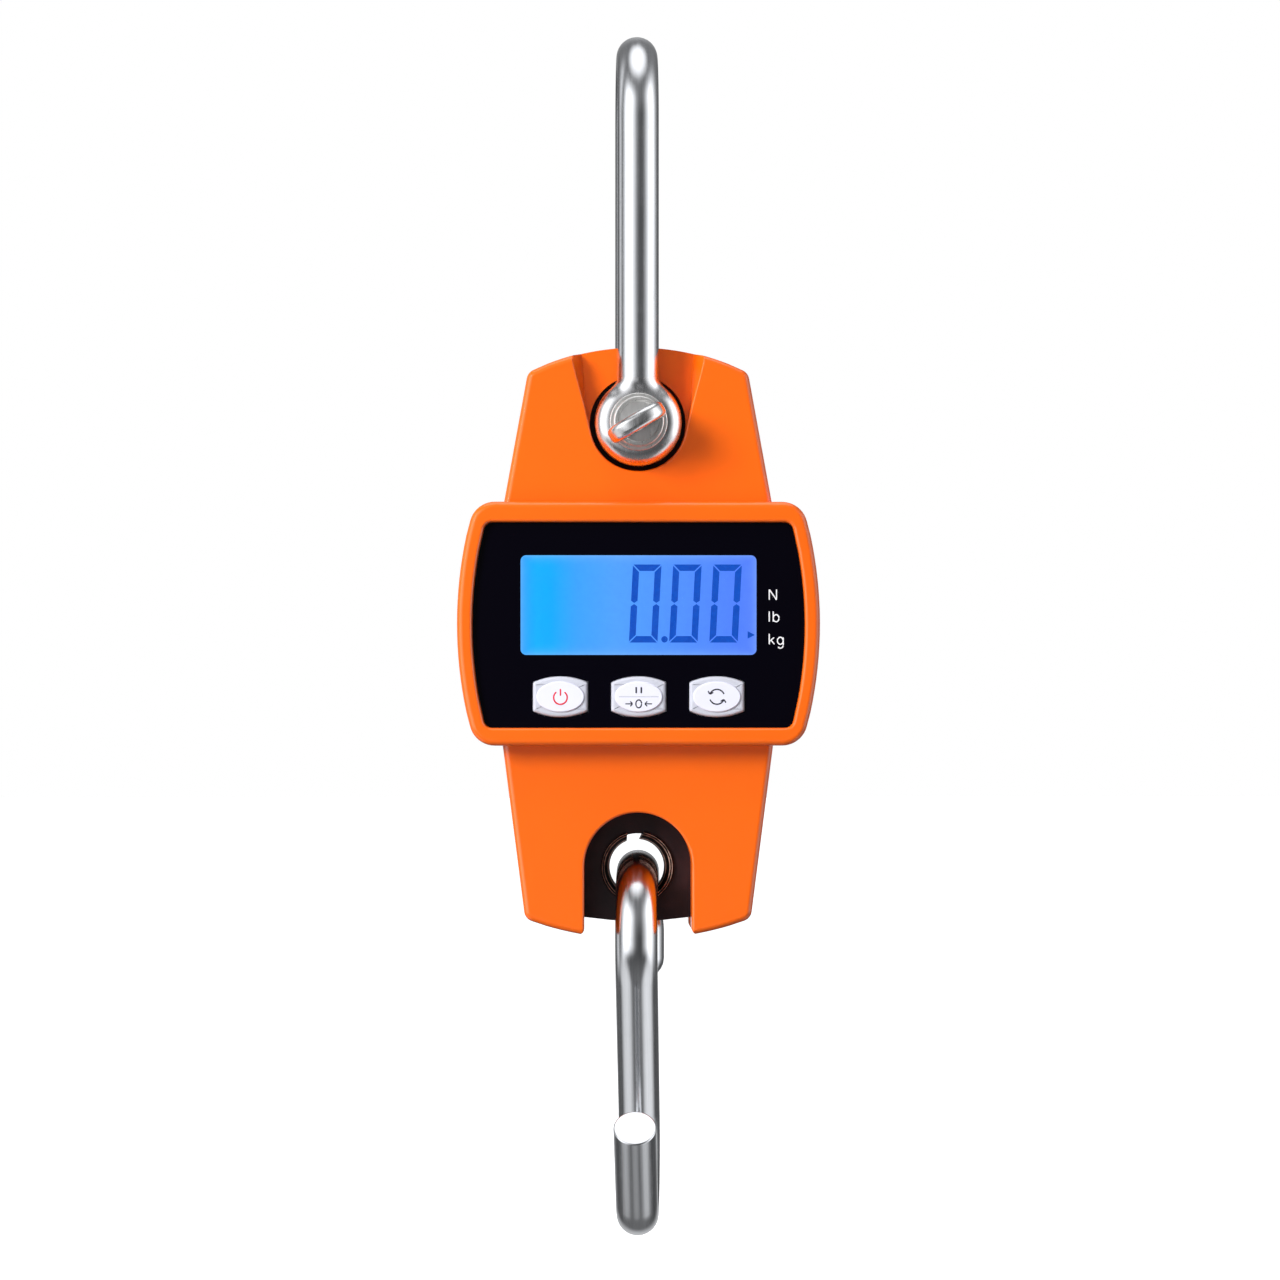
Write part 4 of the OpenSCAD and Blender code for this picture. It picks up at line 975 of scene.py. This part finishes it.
def bush():
    """Split ring with a saddle bore and small turned lips."""
    lip, body = 5.75, 5.05
    edge = math.degrees(math.asin(lip / BUSH_SADDLE))
    saddle = [(min(r, BUSH_LIP_R - 0.1), y)
              for r, y in arc(BUSH_R + BUSH_SADDLE, 0, BUSH_SADDLE, 180 + edge, 180 - edge, 16)]
    outer = [(BUSH_LIP_R - 0.15, lip), (BUSH_LIP_R, lip - 0.15), (BUSH_LIP_R, body),
             (EYELET_R - 0.05, body), (EYELET_R - 0.05, -body), (BUSH_LIP_R, -body),
             (BUSH_LIP_R, -lip + 0.15), (BUSH_LIP_R - 0.15, -lip)]
    ring = lathe(saddle + outer, 0, EYELET_Z, 128)
    gap = tidy([(-2.2, EYELET_Z), (0.5, EYELET_Z), (0.5, EYELET_Z + BUSH_R),
                (1.4, EYELET_Z + EYELET_R), (1.4, EYELET_Z + BUSH_LIP_R + 1),
                (-2.2, EYELET_Z + BUSH_LIP_R + 1)])
    return cut(ring, loft(gap, [(lip + 1, 0), (-lip - 1, 0)]))


piece("hook_rod", hook(), "hook", "hook_steel", ["hook"], 40)
piece("eyelet_ring", bush(), "bush", "bush_black", ["hook_bush"], 35)


# ---- keys and their signs ----

def ribbon(points, r, y):
    """A low printed line on a flat face."""
    return sweep([(x, y, z) for x, z in points], r, 10, r * 0.9, r * 0.9, 0.25)


def dense(points, step=0.12):
    out = []
    for a, b in zip(points, points[1:]):
        n = max(1, int(math.dist(a, b) / step))
        out += [(a[0] + (b[0] - a[0]) * k / n, a[1] + (b[1] - a[1]) * k / n) for k in range(n)]
    return out + [points[-1]]


def stroke(x0, z0, x1, z1, r):
    """A straight line of a key's sign, measured from the key's middle height."""
    return ribbon(dense([(x0, KEY_Z + z0), (x1, KEY_Z + z1)]), r, INK)


def loop(x, z, w, h, n):
    """A closed ellipse, its first point repeated at the end."""
    points = ellipse(x, z, w, h, n)
    return points + points[:1]


def key(x):
    body = loft(key_outline(x), [(-17.15, 0)] + fillet(KEY_FRONT, 0.75, 6))
    flange = loft(rectangle(x, KEY_Z, 14, KEY_H, 0.4), [(-16.0, 0), (-17.05, 0)])
    return joined(body, flange)


def pad(x):
    return loft(ellipse(x, KEY_Z, PAD_W / 2, PAD_H / 2), [(KEY_FRONT + 0.1, 0)] + fillet(PAD_FRONT, 0.3, 4))


INK = PAD_FRONT + 0.02
for name, at in (("power_key", -KEY_PITCH), ("hold_key", 0.0), ("unit_key", KEY_PITCH)):
    piece(name + "_cap", key(at), name, "key_silver", [name], 40)
    piece(name + "_pad", pad(at), name, "key_pad", [name], 40)

power_sign = [ribbon(arc(-KEY_PITCH, KEY_Z - 0.15, 1.45, 125, 415, 30), 0.19, INK),
              stroke(-KEY_PITCH, 1.75, -KEY_PITCH, 0.2, 0.19)]
hold_sign = [stroke(-4.3, 0, 4.3, 0, 0.09), stroke(-0.55, 0.75, -0.55, 2.15, 0.2),
             stroke(0.55, 0.75, 0.55, 2.15, 0.2), ribbon(loop(0, KEY_Z - 1.5, 0.62, 0.85, 24), 0.17, INK)]
for s in (-1, 1):
    hold_sign += [stroke(s * x, z, s * 1.3, -1.5, 0.15)
                  for x, z in ((2.9, -1.5), (1.85, -0.95), (1.85, -2.05))]
unit_sign = []
for turn in (0, 180):
    base = arc(KEY_PITCH, KEY_Z, 1.6, turn + 20, turn + 160, 20)
    tip = Vector(base[-1])
    unit_sign.append(ribbon(base, 0.18, INK))
    for a in (turn + 30, turn + 120):
        back = tip + 0.85 * Vector((math.cos(math.radians(a)), math.sin(math.radians(a))))
        unit_sign.append(ribbon(dense([tuple(back), tuple(tip)]), 0.18, INK))
piece("power_sign", joined(*power_sign), "power_key", "print_red", (), 60, False)
piece("hold_sign", joined(*hold_sign), "hold_key", "print_dark", (), 60, False)
piece("unit_sign", joined(*unit_sign), "unit_key", "print_dark", (), 60, False)


# ---- unit marks beside the display ----

MARK_X, MARK_R, CAP = 28.1, 0.155, 2.3


BOWL = loop(0.62, 0.78, 0.62, 0.76, 28)
STEM = [(0, 0), (0, CAP)]
letter_n = [STEM, [(0, CAP), (1.55, 0)], [(1.55, 0), (1.55, CAP)]]
letter_l = [STEM]
letter_b = [STEM, BOWL]
letter_k = [STEM, [(1.05, 1.5), (0.02, 0.62)], [(0.4, 0.92), (1.12, 0)]]
letter_g = [BOWL, [(1.24, 1.52), (1.24, -0.2)], arc(0.64, -0.2, 0.6, 0, -150, 12)]
INK_Y = PANEL_FRONT + 0.02
marks = []
for z, word in ((-113.15, [(0, letter_n)]),
                (-117.85, [(0, letter_l), (0.85, letter_b)]),
                (-122.7, [(0, letter_k), (1.75, letter_g)])):
    for dx, shapes in word:
        for shape in shapes:
            moved = [(MARK_X + dx + p, z - CAP / 2 + q) for p, q in shape]
            marks.append(ribbon(dense(moved), MARK_R, INK_Y))
piece("unit_marks", joined(*marks), "case", "print_white", (), 60, False)


# ---- CAD pieces that keep their own shape ----

KEPT = {
    "pin_steel": ("pin_washer", "pin_spacers"), "black_rubber": ("case_gasket",),
    "screw_steel": ("case_screws", "load_cell_screws", "board_screws", "battery_door_screws"),
    "cell_black": ("load_cell",), "gauge_foil": ("strain_gauges",), "white_silicone": ("gauge_covers",),
    "panel_black": ("face_panel",), "clear_window": ("lcd_window",), "lcd_blue": ("lcd_glass",),
    "segment_blue": ("lcd_segments",), "light_guide": ("lcd_backlight",), "frame_white": ("lcd_frame",),
    "zebra_rubber": ("lcd_connector",), "board_green": ("main_board",), "chip_black": ("board_parts",),
    "switch_black": ("tact_switches",), "stem_red": ("power_stem", "hold_stem", "unit_stem"),
    "tray_black": ("battery_tray",), "battery_wrap": ("battery_cells",),
    "contact_nickel": ("battery_contacts",), "lead_red": ("load_cell_leads", "battery_leads"),
}
for finish, names in KEPT.items():
    for name in names:
        if not nodes[name].material_slots:
            nodes[name].data.materials.append(M[finish])
        for slot in nodes[name].material_slots:
            slot.material = M[finish]


# ---- floor, light and camera ----

FLOOR_Z, FLOOR_HALF, MIDDLE = -0.365, 6.0, Vector((0, 0, -0.125))
floor_mesh = bpy.data.meshes.new("floor")
corners = [(x * FLOOR_HALF, y * FLOOR_HALF, 0) for x, y in ((-1, -1), (1, -1), (1, 1), (-1, 1))]
floor_mesh.from_pydata(corners, [], [(0, 1, 2, 3)])
floor_mesh.materials.append(ground())
floor = bpy.data.objects.new("floor", floor_mesh)
floor.location = (0, 0, FLOOR_Z)
bpy.context.scene.collection.objects.link(floor)
floor.visible_glossy = False
floor.visible_diffuse = False
floor.visible_transmission = False


def towards(azimuth, elevation):
    """The direction at an azimuth from the front, to the right positive, and an elevation, in degrees."""
    a, e = math.radians(azimuth), math.radians(elevation)
    return Vector((math.sin(a) * math.cos(e), -math.cos(a) * math.cos(e), math.sin(e)))


def soft_box(name, azimuth, elevation, distance, w, h, power):
    """A soft light aimed at the middle of the object, and not seen in it."""
    data = bpy.data.lights.new(name, "AREA")
    data.shape = "RECTANGLE"
    data.size, data.size_y, data.energy = w, h, power
    light = bpy.data.objects.new(name, data)
    light.location = MIDDLE + distance * towards(azimuth, elevation)
    light.rotation_euler = (MIDDLE - light.location).to_track_quat("-Z", "Y").to_euler()
    light.visible_glossy = False
    light.visible_transmission = False
    bpy.context.scene.collection.objects.link(light)


soft_box("left_soft", -50, 22, 1.5, 0.5, 0.6, 28)
soft_box("front_soft", -10, -22, 1.5, 0.9, 0.9, 8)
soft_box("right_soft", 62, 6, 1.4, 0.6, 1.2, 1.2)
soft_box("top_soft", -20, 70, 1.2, 0.9, 0.6, 5)
soft_box("back_left", -140, 12, 1.4, 0.8, 1.2, 12)
soft_box("back_right", 130, 12, 1.4, 0.8, 1.2, 12)

# brightness of the studio round the horizon: degrees from the front, to the right positive
AROUND = ((-180, 0.35), (-158, 0.05), (-142, 0.05), (-128, 0.4), (-118, 0.9), (-108, 0.35), (-98, 0.06),
          (-86, 0.7), (-74, 1.5), (-60, 2.2), (-45, 1.9), (-32, 1.35), (-20, 0.75), (-10, 0.28), (0, 0.09),
          (10, 0.04), (26, 0.04), (37, 0.33), (49, 0.8), (60, 1.4), (72, 2.0), (86, 1.7), (100, 1.0),
          (113, 0.4), (130, 0.07), (158, 0.05), (180, 0.35))
BRIGHTEST = 4.0
# soft patches: azimuth, elevation, full and fading radius in degrees, brightness
PATCHES = ((0, 90, 10, 40, 1.5), (0, 90, 50, 95, 0.16), (-88, -42, 10, 34, 0.75), (86, -42, 10, 34, 0.85),
           (0, -90, 5, 15, 0.22), (0, -90, 20, 85, 0.13), (180, -22, 8, 30, 0.5))
# brightness of the rest of the studio in gloss, and as light on the object
BASE, FILL = 0.04, 0.2


def studio():
    """A white backdrop for the camera, soft patches of light for gloss, and an even fill for the rest."""
    world = bpy.data.worlds.new("studio")
    bpy.context.scene.world = world
    world.use_nodes = True
    w = Nodes(world.node_tree)
    way = w.add("ShaderNodeTexCoord").outputs["Generated"]
    x, y, z = w.parts(way)
    turn = w.range(w.maths("ARCTAN2", x, w.maths("MULTIPLY", y, -1.0)), -math.pi, math.pi)
    ring = w.ramp(turn, *[((a + 180) / 360, (v / BRIGHTEST,) * 3) for a, v in AROUND])
    height = w.maths("MULTIPLY", w.range(z, 0.4, 0.78, 1.0, 0.0, "SMOOTHSTEP"),
                     w.range(z, -0.45, -0.16, 0.0, 1.0, "SMOOTHSTEP"))
    glow = w.maths("MULTIPLY", w.maths("MULTIPLY", ring, height), BRIGHTEST)
    glow = w.maths("ADD", glow, BASE)
    for azimuth, elevation, full, fade, value in PATCHES:
        dot = w.add("ShaderNodeVectorMath", {0: way, 1: towards(azimuth, elevation)},
                    operation="DOT_PRODUCT").outputs["Value"]
        edge, heart = math.cos(math.radians(fade)), math.cos(math.radians(full))
        glow = w.maths("ADD", glow, w.range(dot, edge, heart, 0.0, value, "SMOOTHSTEP"))
    path = w.add("ShaderNodeLightPath")
    for colour, strength, kind in (((0.95, 0.97, 1.0), FILL, ""), ((0.97, 0.98, 1.0), glow, "Is Glossy Ray"),
                                   ((1, 1, 1), 1.0, "Is Camera Ray")):
        light = w.add("ShaderNodeBackground", {"Color": colour, "Strength": strength}).outputs[0]
        if kind:
            light = w.add("ShaderNodeMixShader", {0: path.outputs[kind], 1: last, 2: light}).outputs[0]
        last = light
    w.add("ShaderNodeOutputWorld", {0: last})


studio()

CAMERA_DISTANCE, CAMERA_AZIMUTH, AIM = 1.0, -1.3, Vector((0.00072, 0.0, -0.1229))
camera_data = bpy.data.cameras.new("camera")
camera_data.sensor_width = 36
camera_data.lens = 128.5
camera = bpy.data.objects.new("camera", camera_data)
camera.location = AIM + CAMERA_DISTANCE * towards(CAMERA_AZIMUTH, 0)
camera.rotation_euler = (AIM - camera.location).to_track_quat("-Z", "Y").to_euler()
bpy.context.scene.collection.objects.link(camera)
bpy.context.scene.camera = camera
bpy.context.scene.view_settings.view_transform = "Standard"
bpy.context.scene.view_settings.look = "None"
